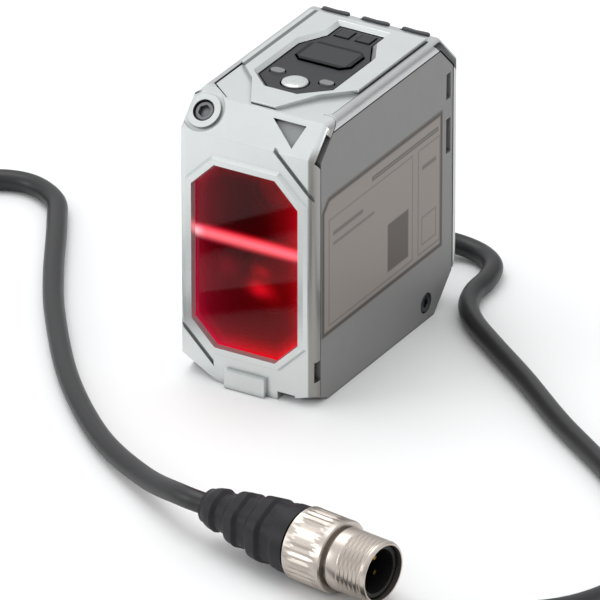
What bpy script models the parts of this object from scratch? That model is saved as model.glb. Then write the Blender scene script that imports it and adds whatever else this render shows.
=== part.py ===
"""Laser photoelectric sensor in a die-cast housing, with a pigtail cable and a round plug connector.

The sensor stands on its flat underside at z = 0. The front window faces -Y, +X is to the right
seen from the front, and +Z is up. The origin is under the middle of the body.
"""
import math

import bmesh
import bpy
from mathutils import Matrix, Vector

MM = 0.001

# Body, over everything
BODY_WIDTH = 31.0 * MM
BODY_DEPTH = 58.2 * MM
BODY_HEIGHT = 61.0 * MM
GAP = 0.3 * MM

# Corners of the side profile
FRONT_TOP_CHAMFER = 6.8 * MM
REAR_TOP_CHAMFER = 6.5 * MM
REAR_BOTTOM_CHAMFER = 9.5 * MM
SHOULDER_RADIUS = 1.5 * MM

# Main housing
LEFT_WALL = 1.9 * MM
BOTTOM_WALL = 2.4 * MM
REAR_WALL = 3.4 * MM
TOP_WALL = 4.8 * MM
SLOPE_WALL = 1.8 * MM
VENT_SLOT_LENGTH = 6.6 * MM
VENT_SLOT_WIDTH = 1.4 * MM
VENT_SLOT_DEPTH = 1.9 * MM
VENT_SLOT_PITCH = 9.2 * MM
VENT_SLOT_OVERRUN = 0.8 * MM

# Side cover
SIDE_COVER_THICKNESS = 1.6 * MM
SIDE_COVER_INSET = 2.4 * MM
SIDE_SLOT_WIDTH = 1.7 * MM
SIDE_SLOT_DEPTH = 1.0 * MM
UPPER_SIDE_SLOT_LENGTH = 5.6 * MM
LOWER_SIDE_SLOT_LENGTH = 7.6 * MM
UPPER_SIDE_SLOT_DROP = 15.0 * MM
LOWER_SIDE_SLOT_DROP = 27.0 * MM
SIDE_SLOT_EDGE = 0.9 * MM
SIDE_SCREW_HEAD_RADIUS = 1.9 * MM
SIDE_SCREW_HEAD_HEIGHT = 0.7 * MM
SIDE_SCREW_SHANK_RADIUS = 0.9 * MM
SIDE_SCREW_LENGTH = 4.2 * MM
SIDE_SCREW_INSET = 3.9 * MM

# Front bezel
BEZEL_THICKNESS = 3.6 * MM
BEZEL_SLOPE_THICKNESS = 2.6 * MM
BEZEL_STEP = 1.2 * MM
RIM_SETBACK = 0.4 * MM
RIM_WIDTH = 2.0 * MM
RIM_TAPER = 0.5 * MM
GROOVE_WIDTH = 1.0 * MM
GROOVE_DEPTH = 0.7 * MM
UPPER_GROOVE_SUM = 61.4 * MM
LOWER_GROOVE_SUM = -3.3 * MM
CORNER_SLOPE_DEPTH = 1.3 * MM
CORNER_FACET_WIDTH = 9.6 * MM
CORNER_FACET_HEIGHT = 5.4 * MM
CORNER_FACET_DEPTH = 5.6 * MM
RIGHT_FACET_WIDTH = 8.5 * MM
RIGHT_FACET_HEIGHT = 2.9 * MM
RIGHT_FACET_DEPTH = 5.9 * MM
EAR_HOLE_RADIUS = 2.3 * MM
EAR_RING_RADIUS = 4.1 * MM
EAR_INSET = 3.9 * MM
EAR_BOSS_WALL = 0.7 * MM
EAR_BOSS_LENGTH = 3.6 * MM
EAR_BOSS_REACH = 2.6 * MM
EAR_BORE_LENGTH = 6.0 * MM
EAR_RISE = 6.3 * MM
EAR_COUNTERBORE = 1.9 * MM
BEZEL_SCREW_HEAD_RADIUS = 2.0 * MM
BEZEL_SCREW_HEAD_HEIGHT = 1.2 * MM
BEZEL_SCREW_SHANK_RADIUS = 1.25 * MM
BEZEL_SCREW_LENGTH = 4.6 * MM
BOTTOM_BLOCK_WIDTH = 9.4 * MM
BOTTOM_BLOCK_HEIGHT = 4.2 * MM
BOTTOM_NOTCH_WIDTH = 4.0 * MM
BOTTOM_NOTCH_HEIGHT = 1.9 * MM
BOTTOM_NOTCH_MIDDLE = 9.1 * MM
SIDE_NOTCH_WIDTH = 1.8 * MM
SIDE_NOTCH_DEPTH = 1.2 * MM
SIDE_NOTCH_LENGTH = 4.4 * MM
SIDE_NOTCH_BOTTOM = 5.6 * MM
SLOPE_NOTCH_LENGTH = 6.4 * MM
CORNER_RECESS_DEPTH = 1.0 * MM

# Window
WINDOW_SIDE_MARGIN = 3.6 * MM
WINDOW_BOTTOM = 8.6 * MM
WINDOW_TOP_MARGIN = 12.6 * MM
WINDOW_CORNER = 5.1 * MM
WINDOW_LIP = 1.2 * MM
WINDOW_LAP = 1.2 * MM
GLASS_THICKNESS = 1.5 * MM
WINDOW_GASKET_THICKNESS = 0.8 * MM
WINDOW_GASKET_WIDTH = 1.2 * MM

# Optics
HOLDER_SIDE_CLEARANCE = 1.2 * MM
HOLDER_ABOVE_WINDOW = 0.5 * MM
HOLDER_DEPTH = 20.4 * MM
HOLDER_RECESS_INSET = 0.7 * MM
CHAMBER_STEP = 2.5 * MM
HOLDER_FRAME_STEP = 2.6 * MM
DIVIDER_DROP = 8.8 * MM
DIVIDER_THICKNESS = 2.2 * MM
EMITTER_DROP = 8.2 * MM
EMITTER_SET_BACK = 6.5 * MM
EMITTER_BARREL_RADIUS = 4.6 * MM
EMITTER_BARREL_LENGTH = 13.0 * MM
EMITTER_LENS_RADIUS = 3.4 * MM
EMITTER_LENS_THICKNESS = 2.2 * MM
LASER_CAN_RADIUS = 2.8 * MM
LASER_CAN_LENGTH = 3.4 * MM
OPTICS_PITCH = 19.6 * MM
RECEIVER_SET_BACK = 8.0 * MM
RECEIVER_LENS_RADIUS = 7.6 * MM
RECEIVER_LENS_THICKNESS = 4.2 * MM
LENS_RING_WIDTH = 1.3 * MM
IMAGE_CHIP_WIDTH = 9.0 * MM
IMAGE_CHIP_HEIGHT = 4.0 * MM
IMAGE_CHIP_THICKNESS = 1.4 * MM
BOARD_THICKNESS = 1.2 * MM
RECEIVER_BOARD_SIDE_STEP = 1.9 * MM
RECEIVER_BOARD_RISE = 4.0 * MM

# Main circuit board on the left wall
MAIN_BOARD_FRONT_GAP = 3.6 * MM
MAIN_BOARD_REAR_GAP = 5.0 * MM
MAIN_BOARD_DROP = 16.0 * MM
BOARD_SCREW_INSET = 2.8 * MM
MAIN_BOARD_BOTTOM = 9.0 * MM
STANDOFF_RADIUS = 2.2 * MM
STANDOFF_LENGTH = 2.6 * MM
BOARD_SCREW_HEAD_RADIUS = 1.8 * MM
BOARD_SCREW_HEAD_HEIGHT = 1.1 * MM
BOARD_SCREW_SHANK_RADIUS = 0.8 * MM
BOARD_SCREW_LENGTH = 3.6 * MM
PROCESSOR_SIZE = 9.0 * MM
PROCESSOR_THICKNESS = 1.2 * MM
PROCESSOR_RISE = 17.5 * MM
COIL_SIZE = 5.0 * MM
COIL_HEIGHT = 3.2 * MM
COIL_RISE = 8.5 * MM
COIL_INSET = 3.5 * MM
HEADER_LENGTH = 8.0 * MM
HEADER_WIDTH = 3.4 * MM
HEADER_HEIGHT = 4.6 * MM
HEADER_RISE = 1.5 * MM
HEADER_INSET = 1.5 * MM

# Top cover and its panel
TOP_COVER_SIDE_MARGIN = 2.2 * MM
TOP_COVER_STEP = 0.8 * MM
TOP_COVER_THICKNESS = 1.9 * MM
TOP_COVER_REAR = 19.8 * MM
NOSE_FRONT = 21.2 * MM
NOSE_HALF_WIDTH = 8.2 * MM
NOSE_CORNER_LENGTH = 4.2 * MM
NOSE_DROP = 0.3 * MM
TONGUE_STEP = 1.0 * MM
TONGUE_HALF_WIDTH = 2.8 * MM
TONGUE_ROOT_HALF_WIDTH = 7.7 * MM
TONGUE_ROOT = 12.6 * MM
TONGUE_SPREAD = 5.6 * MM
NOSE_SLOPE_LENGTH = 7.6 * MM
PANEL_HALF_WIDTH = 8.3 * MM
PANEL_FRONT = 13.9 * MM
PANEL_FRONT_HALF_WIDTH = 3.4 * MM
PANEL_FRONT_CORNER = 4.6 * MM
PANEL_WAIST = 6.6 * MM
PANEL_TAIL_START = 12.6 * MM
PANEL_TAIL_HALF_WIDTH = 5.2 * MM
PANEL_REAR = 17.4 * MM
PANEL_RECESS = 0.9 * MM
PANEL_FLANGE = 1.5 * MM
PANEL_FLANGE_THICKNESS = 0.9 * MM
PANEL_GASKET_THICKNESS = 0.7 * MM
PANEL_LIP_BEVEL = 0.8 * MM
LEDGE_UNDER_PANEL = 1.2 * MM

# On the panel
DISPLAY_HALF_WIDTH = 6.2 * MM
DISPLAY_LENGTH = 8.4 * MM
DISPLAY_MIDDLE = 4.6 * MM
DISPLAY_CORNER = 1.6 * MM
DISPLAY_LENS_THICKNESS = 0.8 * MM
DISPLAY_POCKET_DEPTH = 0.7 * MM
SET_BUTTON_RADIUS = 2.7 * MM
SET_BUTTON_POSITION = 9.0 * MM
SET_BUTTON_RISE = 0.7 * MM
SMALL_KEY_HALF_LENGTH = 1.5 * MM
SMALL_KEY_HALF_WIDTH = 1.0 * MM
SMALL_KEY_OFFSET = 5.6 * MM
SMALL_KEY_POSITION = 6.2 * MM
SMALL_KEY_RISE = 0.3 * MM
KEY_FLANGE = 0.5 * MM
KEY_FLANGE_THICKNESS = 0.5 * MM
KEY_TRAVEL = 0.5 * MM
KEY_CLEARANCE = 0.3 * MM
INDICATOR_HALF_WIDTH = 1.5 * MM
INDICATOR_LENGTH = 3.0 * MM
INDICATOR_OFFSET = 2.4 * MM
INDICATOR_POSITION = 14.7 * MM
SWITCH_SIZE = 3.4 * MM
SWITCH_HEIGHT = 0.8 * MM
INDICATOR_POCKET = 0.9 * MM
INDICATOR_THICKNESS = 0.8 * MM
POST_RADIUS = 0.7 * MM
DISPLAY_MODULE_HALF_WIDTH = 5.2 * MM
DISPLAY_MODULE_LENGTH = 6.4 * MM
DISPLAY_MODULE_THICKNESS = 2.0 * MM
DISPLAY_VIEW_HALF_WIDTH = 4.8 * MM
DISPLAY_VIEW_LENGTH = 5.4 * MM

# Cable outlet
OUTLET_HEIGHT = 5.2 * MM
OUTLET_BOSS_RADIUS = 4.8 * MM
OUTLET_BOSS_END = 25.8 * MM
OUTLET_BORE_RADIUS = 2.9 * MM
GLAND_HEAD_RADIUS = 4.2 * MM
GLAND_HEAD_LENGTH = 1.6 * MM
GLAND_TIP_RADIUS = 2.75 * MM
GLAND_TAPER_LENGTH = 3.1 * MM
GLAND_SEAL_THICKNESS = 1.2 * MM
GLAND_SPIGOT_LENGTH = 5.0 * MM

# Cable
CABLE_RADIUS = 2.15 * MM
CABLE_LIFT = 0.06 * MM

# Plug connector, measured along its axis from the start of its boot
CONNECTOR_X = 25.2 * MM
CONNECTOR_Y = -84.3 * MM
CONNECTOR_LIFT = 0.1 * MM
CONNECTOR_TURN = math.radians(-8.6)
BOOT_LENGTH = 23.2 * MM
BOOT_TIP_RADIUS = 3.3 * MM
BOOT_RADIUS = 6.9 * MM
BOOT_RIB_HEIGHT = 0.5 * MM
BOOT_RIB_COUNT = 3
NUT_RADIUS = 7.4 * MM
NUT_HEAD_LENGTH = 9.6 * MM
NUT_THREAD_RADIUS = 6.3 * MM
NUT_LENGTH = 19.5 * MM
NUT_BORE_RADIUS = 5.6 * MM
NUT_LIP_LENGTH = 1.5 * MM
NUT_FLUTE_COUNT = 18
NUT_FLUTE_DEPTH = 0.35 * MM
CORE_NECK_RADIUS = 4.2 * MM
CORE_LENGTH = 18.3 * MM
CORE_SKIRT = 0.8 * MM
CORE_SOLID_LENGTH = 9.5 * MM
PIN_SOCKET_DEPTH = 2.3 * MM
PIN_RADIUS = 0.5 * MM
PIN_CIRCLE_RADIUS = 2.3 * MM
PIN_LENGTH = 8.6 * MM

# Route of the free cable, in millimetres, chosen by hand: out of the gland, round behind the
# body, forward past its right side, round in front and back to the boot of the connector.
CABLE_ROUTE = (
    (0.0, 33.2, 5.2), (0.1, 35.6, 5.1), (1.9, 40.2, 4.4), (6.4, 43.7, 3.1),
    (12.4, 43.8, 2.3), (17.2, 40.4, 2.21), (19.2, 34.6, 2.21), (19.7, 28.4, 2.21),
    (21.8, 22.6, 2.21), (26.4, 16.9, 2.21), (35.2, 9.8, 2.21), (47.5, 0.4, 2.21),
    (62.5, -11.9, 2.21), (80.1, -24.7, 2.21), (95.9, -38.7, 2.21), (105.2, -56.4, 2.21),
    (100.2, -75.6, 2.21), (82.2, -90.3, 2.21), (60.7, -103.0, 2.21), (38.6, -117.2, 2.21),
    (22.5, -127.8, 2.21), (6.5, -134.8, 2.21), (-6.5, -129.5, 2.21), (-18.5, -110.0, 2.21),
    (-36.0, -80.5, 2.21), (-55.4, -48.6, 2.21), (-75.8, -19.8, 2.21), (-90.2, -0.9, 2.21),
    (-95.3, 10.6, 2.21), (-91.9, 20.7, 2.21), (-83.4, 24.3, 2.21), (-74.6, 20.6, 2.21),
    (-68.6, 11.9, 2.21), (-57.6, -7.3, 2.21), (-47.4, -23.2, 2.21), (-30.8, -44.9, 2.21),
    (-12.4, -63.0, 2.4), (5.0, -75.2, 4.1), (18.2, -83.0, 7.3),
)
CABLE_STEP = 8.7 * MM

# Places that follow from the sizes
FRONT = -BODY_DEPTH / 2
REAR = BODY_DEPTH / 2
SIDE = BODY_WIDTH / 2
COVER_INNER = SIDE - SIDE_COVER_THICKNESS
CAVITY_RIGHT = COVER_INNER - GAP
WINDOW_HALF_WIDTH = SIDE - WINDOW_SIDE_MARGIN
WINDOW_TOP = BODY_HEIGHT - WINDOW_TOP_MARGIN
EMITTER_HEIGHT = WINDOW_TOP - EMITTER_DROP
RECEIVER_HEIGHT = EMITTER_HEIGHT - OPTICS_PITCH
DIVIDER_HEIGHT = EMITTER_HEIGHT - DIVIDER_DROP
HOLDER_HALF_WIDTH = CAVITY_RIGHT - HOLDER_SIDE_CLEARANCE
CHAMBER_HALF_WIDTH = WINDOW_HALF_WIDTH - CHAMBER_STEP
TOP_COVER_HALF_WIDTH = SIDE - TOP_COVER_SIDE_MARGIN
CONNECTOR_START = Vector((CONNECTOR_X, CONNECTOR_Y, NUT_RADIUS + CONNECTOR_LIFT))
LEDGE = BODY_HEIGHT - TOP_COVER_STEP
BEZEL_BACK = FRONT + BEZEL_THICKNESS
SEAM = BEZEL_BACK + GAP
COVER_SEAT = BODY_HEIGHT - TOP_COVER_THICKNESS - GAP
GLASS_FRONT = FRONT + RIM_SETBACK + WINDOW_LIP + GAP
GLASS_BACK = GLASS_FRONT + GLASS_THICKNESS
WINDOW_GASKET_BACK = GLASS_BACK + GAP + WINDOW_GASKET_THICKNESS
HOLDER_FRONT = WINDOW_GASKET_BACK + GAP
HOLDER_BACK = HOLDER_FRONT + HOLDER_DEPTH
HOLDER_TOP = WINDOW_TOP + HOLDER_ABOVE_WINDOW
HOLDER_BOTTOM = BOTTOM_WALL + GAP
CAVITY_LEFT = -SIDE + LEFT_WALL
DIAGONAL = math.sqrt(0.5)
PANEL_TOP = BODY_HEIGHT - PANEL_RECESS
PANEL_UNDER = COVER_SEAT - PANEL_FLANGE_THICKNESS
POCKET_FLOOR = PANEL_UNDER - PANEL_GASKET_THICKNESS - 2 * GAP
KEY_FLANGE_LOW = PANEL_UNDER - GAP - KEY_FLANGE_THICKNESS
PANEL_BOARD_TOP = KEY_FLANGE_LOW - KEY_TRAVEL - KEY_CLEARANCE - SWITCH_HEIGHT - GAP
PLATE_FRONT = FRONT + BEZEL_STEP
LENS_SEAT = HOLDER_FRONT + RECEIVER_SET_BACK
BARREL_START = HOLDER_FRONT + EMITTER_SET_BACK
MAIN_BOARD_LEFT = CAVITY_LEFT + STANDOFF_LENGTH + GAP
MAIN_BOARD_RIGHT = MAIN_BOARD_LEFT + BOARD_THICKNESS
RECEIVER_BOARD_FRONT = HOLDER_BACK + GAP
MAIN_BOARD_FRONT = HOLDER_BACK + MAIN_BOARD_FRONT_GAP
MAIN_BOARD_REAR = REAR - REAR_WALL - MAIN_BOARD_REAR_GAP
MAIN_BOARD_TOP = BODY_HEIGHT - MAIN_BOARD_DROP
SEAL_START = OUTLET_BOSS_END + GAP
GLAND_START = SEAL_START + GLAND_SEAL_THICKNESS + GAP
GLAND_TIP = GLAND_START + GLAND_HEAD_LENGTH + GLAND_TAPER_LENGTH
CONNECTOR_AXIS = Vector((math.cos(CONNECTOR_TURN), math.sin(CONNECTOR_TURN), 0.0))
NUT_START = CONNECTOR_START + CONNECTOR_AXIS * (BOOT_LENGTH + GAP)
SIDE_SCREW_PLACE = (REAR - REAR_BOTTOM_CHAMFER - 3.1 * MM, SIDE_SCREW_INSET)


def hex_to_linear(code):
    """Linear colour of an sRGB hex code such as 'A0A0A0'."""
    values = [int(code[i:i + 2], 16) / 255 for i in (0, 2, 4)]
    return [v / 12.92 if v <= 0.04045 else ((v + 0.055) / 1.055) ** 2.4 for v in values] + [1.0]


def make_material(name, code, roughness, metallic=0.0, transmission=0.0):
    """A Principled material of one colour."""
    material = bpy.data.materials.new(name)
    material.use_nodes = True
    shader = material.node_tree.nodes["Principled BSDF"]
    shader.inputs["Base Color"].default_value = hex_to_linear(code)
    shader.inputs["Roughness"].default_value = roughness
    shader.inputs["Metallic"].default_value = metallic
    shader.inputs["Transmission Weight"].default_value = transmission
    material.diffuse_color = hex_to_linear(code)
    return material


def finish_mesh(name, mesh_data, material=None, smooth=True):
    """Turn a bmesh into a named object with outward faces and smooth round sides."""
    bmesh.ops.remove_doubles(mesh_data, verts=mesh_data.verts, dist=1e-7)
    bmesh.ops.recalc_face_normals(mesh_data, faces=mesh_data.faces)
    mesh = bpy.data.meshes.new(name)
    mesh_data.to_mesh(mesh)
    mesh_data.free()
    if smooth:
        mesh.shade_smooth()
        mesh.set_sharp_from_angle(angle=math.radians(32))
    thing = bpy.data.objects.new(name, mesh)
    bpy.context.scene.collection.objects.link(thing)
    if material:
        mesh.materials.append(material)
    return thing


def on_axis(axis, a, b, c):
    """A point whose two outline values are a, b and whose height along the axis is c."""
    return {"X": (c, a, b), "Y": (a, c, b), "Z": (a, b, c)}[axis]


def prism_mesh(outline, low, high, axis, top_outline=None):
    """A prism, or with a second outline of as many points, a straight-sided loft."""
    mesh_data = bmesh.new()
    upper = top_outline or outline
    first = [mesh_data.verts.new(on_axis(axis, a, b, low)) for a, b in outline]
    last = [mesh_data.verts.new(on_axis(axis, a, b, high)) for a, b in upper]
    mesh_data.faces.new(first)
    mesh_data.faces.new(last)
    for i in range(len(first)):
        j = (i + 1) % len(first)
        mesh_data.faces.new((first[i], first[j], last[j], last[i]))
    bmesh.ops.recalc_face_normals(mesh_data, faces=mesh_data.faces)
    return mesh_data


def prism(name, outline, low, high, axis, material=None, top_outline=None, smooth=False):
    return finish_mesh(name, prism_mesh(outline, low, high, axis, top_outline), material, smooth)


def box(name, low, high, material=None, bevel=0.0):
    """A box between two corners, with its edges bevelled if a width is given."""
    outline = rectangle(low[0], high[0], low[1], high[1])
    mesh_data = prism_mesh(outline, low[2], high[2], "Z")
    if bevel:
        bevel_edges(mesh_data, mesh_data.edges, bevel, 2)
    return finish_mesh(name, mesh_data, material, bool(bevel))


def bevel_edges(mesh_data, edges, width, segments):
    bmesh.ops.bevel(mesh_data, geom=list(edges), offset=width, offset_type="OFFSET",
                    segments=segments, profile=0.5, affect="EDGES", clamp_overlap=True)


def rectangle(left, right, bottom, top):
    return [(left, bottom), (right, bottom), (right, top), (left, top)]


def octagon(half_width, bottom, top, corner):
    """A rectangle about x = 0 with its four corners cut at 45 degrees."""
    return [(-half_width + corner, bottom), (half_width - corner, bottom),
            (half_width, bottom + corner), (half_width, top - corner),
            (half_width - corner, top), (-half_width + corner, top),
            (-half_width, top - corner), (-half_width, bottom + corner)]


def window_outline(grow):
    """The window's octagon moved outwards on every side by one distance."""
    corner = WINDOW_CORNER + grow * (2 - math.sqrt(2))
    return octagon(WINDOW_HALF_WIDTH + grow, WINDOW_BOTTOM - grow, WINDOW_TOP + grow, corner)


def inset(outline, distances):
    """Move each edge of a convex anticlockwise outline inwards by its own distance."""
    count = len(outline)
    lines = []
    for i, distance in enumerate(distances):
        start, end = Vector(outline[i]), Vector(outline[(i + 1) % count])
        along = (end - start).normalized()
        inward = Vector((-along.y, along.x))
        lines.append((start + inward * distance, along))
    points = []
    for i in range(count):
        (p, u), (q, v) = lines[i - 1], lines[i]
        cross = u.x * v.y - u.y * v.x
        reach = ((q.x - p.x) * v.y - (q.y - p.y) * v.x) / cross
        points.append(tuple(p + u * reach))
    return points


def turned(name, profile, material=None, segments=32, smooth=True):
    """Spin a profile of (distance along +X, radius) pairs round the X axis."""
    mesh_data = bmesh.new()
    verts = [mesh_data.verts.new((x, 0.0, r)) for x, r in profile]
    edges = [mesh_data.edges.new(pair) for pair in zip(verts, verts[1:])]
    bmesh.ops.spin(mesh_data, geom=verts + edges, cent=(0, 0, 0), axis=(1, 0, 0),
                   angle=math.tau, steps=segments)
    return finish_mesh(name, mesh_data, material, smooth)


def rod(name, radius, length, material=None, segments=24, smooth=True):
    """A plain round bar from the origin along +X."""
    return turned(name, [(0, 0), (0, radius), (length, radius), (length, 0)],
                  material, segments, smooth)


def ring(name, inner, outer, length, material=None, segments=32):
    """A round sleeve from the origin along +X."""
    profile = [(0, inner), (0, outer), (length, outer), (length, inner), (0, inner)]
    return turned(name, profile, material, segments)


def lay_along(thing, start, direction, spin=0.0):
    """Place a piece made along +X so that it starts at a point and runs in a direction."""
    turn = Vector((1, 0, 0)).rotation_difference(Vector(direction).normalized())
    thing.rotation_mode = "QUATERNION"
    thing.rotation_quaternion = turn @ Matrix.Rotation(spin, 4, "X").to_quaternion()
    thing.location = start
    return thing


def boolean(target, tool, operation="DIFFERENCE"):
    """Cut a tool out of a piece, or join it on, and leave the tool as a wire guide."""
    modifier = target.modifiers.new(operation.lower() + " " + tool.name, "BOOLEAN")
    modifier.operation = operation
    modifier.solver = "EXACT"
    modifier.object = tool
    tool.hide_render = True
    tool.display_type = "WIRE"


def cut(target, *tools):
    for tool in tools:
        boolean(target, tool)


def join(target, *tools):
    for tool in tools:
        boolean(target, tool, "UNION")


def body_profile(top):
    """Side view of the body as (y, z) points, anticlockwise from the front bottom corner."""
    return [(FRONT, 0.0), (REAR - REAR_BOTTOM_CHAMFER, 0.0), (REAR, REAR_BOTTOM_CHAMFER),
            (REAR, top - REAR_TOP_CHAMFER), (REAR - REAR_TOP_CHAMFER, top),
            (FRONT + FRONT_TOP_CHAMFER, top), (FRONT, top - FRONT_TOP_CHAMFER)]


def profile_inset(bottom, rear_bottom, rear, rear_top, top, slope, front):
    """The side profile moved inwards, with one distance for each of its seven edges."""
    return inset(body_profile(LEDGE), (bottom, rear_bottom, rear, rear_top, top, slope, front))


def side_cover_outline(clearance):
    """Outline of the side cover, moved outwards by a clearance where it meets the housing."""
    edge = SIDE_COVER_INSET - clearance
    slope = BEZEL_SLOPE_THICKNESS + GAP - clearance
    front = BEZEL_THICKNESS + GAP - clearance
    return profile_inset(-clearance, -clearance, edge, edge, edge, slope, front)


def top_cover_outline(clearance=0.0):
    """Top cover seen from above as (x, y) points, with its nose to the front."""
    half = TOP_COVER_HALF_WIDTH + clearance
    nose = NOSE_HALF_WIDTH + clearance * 0.5
    front = NOSE_FRONT + clearance
    return [(-half, TOP_COVER_REAR + clearance), (-half, -front + NOSE_CORNER_LENGTH),
            (-nose, -front), (nose, -front), (half, -front + NOSE_CORNER_LENGTH),
            (half, TOP_COVER_REAR + clearance)]


def panel_outline(grow=0.0):
    """Display panel seen from above as (x, y) points, moved outwards by one distance."""
    diagonal = grow * 0.45
    half = PANEL_HALF_WIDTH + grow
    tail = PANEL_TAIL_HALF_WIDTH + grow
    front = PANEL_FRONT + grow
    shoulder = PANEL_FRONT - PANEL_FRONT_CORNER + diagonal
    return [(-PANEL_FRONT_HALF_WIDTH - diagonal, -front), (PANEL_FRONT_HALF_WIDTH + diagonal, -front),
            (half, -shoulder), (half, PANEL_WAIST + diagonal),
            (tail, PANEL_TAIL_START + diagonal), (tail, PANEL_REAR + grow),
            (-tail, PANEL_REAR + grow), (-tail, PANEL_TAIL_START + diagonal),
            (-half, PANEL_WAIST + diagonal), (-half, -shoulder)]


def stadium(half_length, half_width, centre, steps=8):
    """A slot shape with round ends, long in x, as (x, y) points."""
    straight = half_length - half_width
    points = []
    for side, first in ((1, -math.pi / 2), (-1, math.pi / 2)):
        for i in range(steps + 1):
            angle = first + math.pi * i / steps
            points.append((centre[0] + side * straight + half_width * math.cos(angle),
                           centre[1] + half_width * math.sin(angle)))
    return points


for old in list(bpy.data.objects):
    bpy.data.objects.remove(old)

die_cast = make_material("die_cast_metal", "B4B6B5", 0.38, 0.9)
side_metal = make_material("side_cover_metal", "868686", 0.42, 0.85)
bezel_metal = make_material("bezel_metal", "D6DAD8", 0.3, 0.9)
steel = make_material("screw_steel", "8C8C8C", 0.35, 1.0)
red_filter = make_material("red_filter", "A01020", 0.08, 0.0, 0.8)
black_plastic = make_material("black_plastic", "1C1C1E", 0.5)
dark_panel = make_material("dark_panel", "2E2E30", 0.4)
smoked_lens = make_material("smoked_lens", "565658", 0.15)
silver_key = make_material("silver_key", "C9CBCA", 0.25, 0.8)
grey_key = make_material("grey_key", "77797A", 0.4)
seal_rubber = make_material("seal_rubber", "26262A", 0.8)
clear_glass = make_material("clear_glass", "E8EEF0", 0.05, 0.0, 0.9)
brass = make_material("brass", "B08D4A", 0.3, 1.0)
gold_pin = make_material("gold_pin", "C9A552", 0.25, 1.0)
green_board = make_material("circuit_board", "1F4A33", 0.45)
chip_black = make_material("chip_black", "1A1A1C", 0.4)
cable_jacket = make_material("cable_jacket", "1B1B1D", 0.5)
boot_plastic = make_material("boot_plastic", "2E2E34", 0.55)
nickel = make_material("nickel_brass", "CFC6BC", 0.25, 1.0)


def slope_point(x, rise, depth):
    """A point over the front slope: rise up along it from its lower edge, depth into the body."""
    y = FRONT + (rise + depth) * DIAGONAL
    z = LEDGE - FRONT_TOP_CHAMFER + (rise - depth) * DIAGONAL
    return Vector((x, y, z))


SLOPE_INWARD = Vector((0, DIAGONAL, -DIAGONAL))
EAR_X = -SIDE + EAR_INSET


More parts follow.
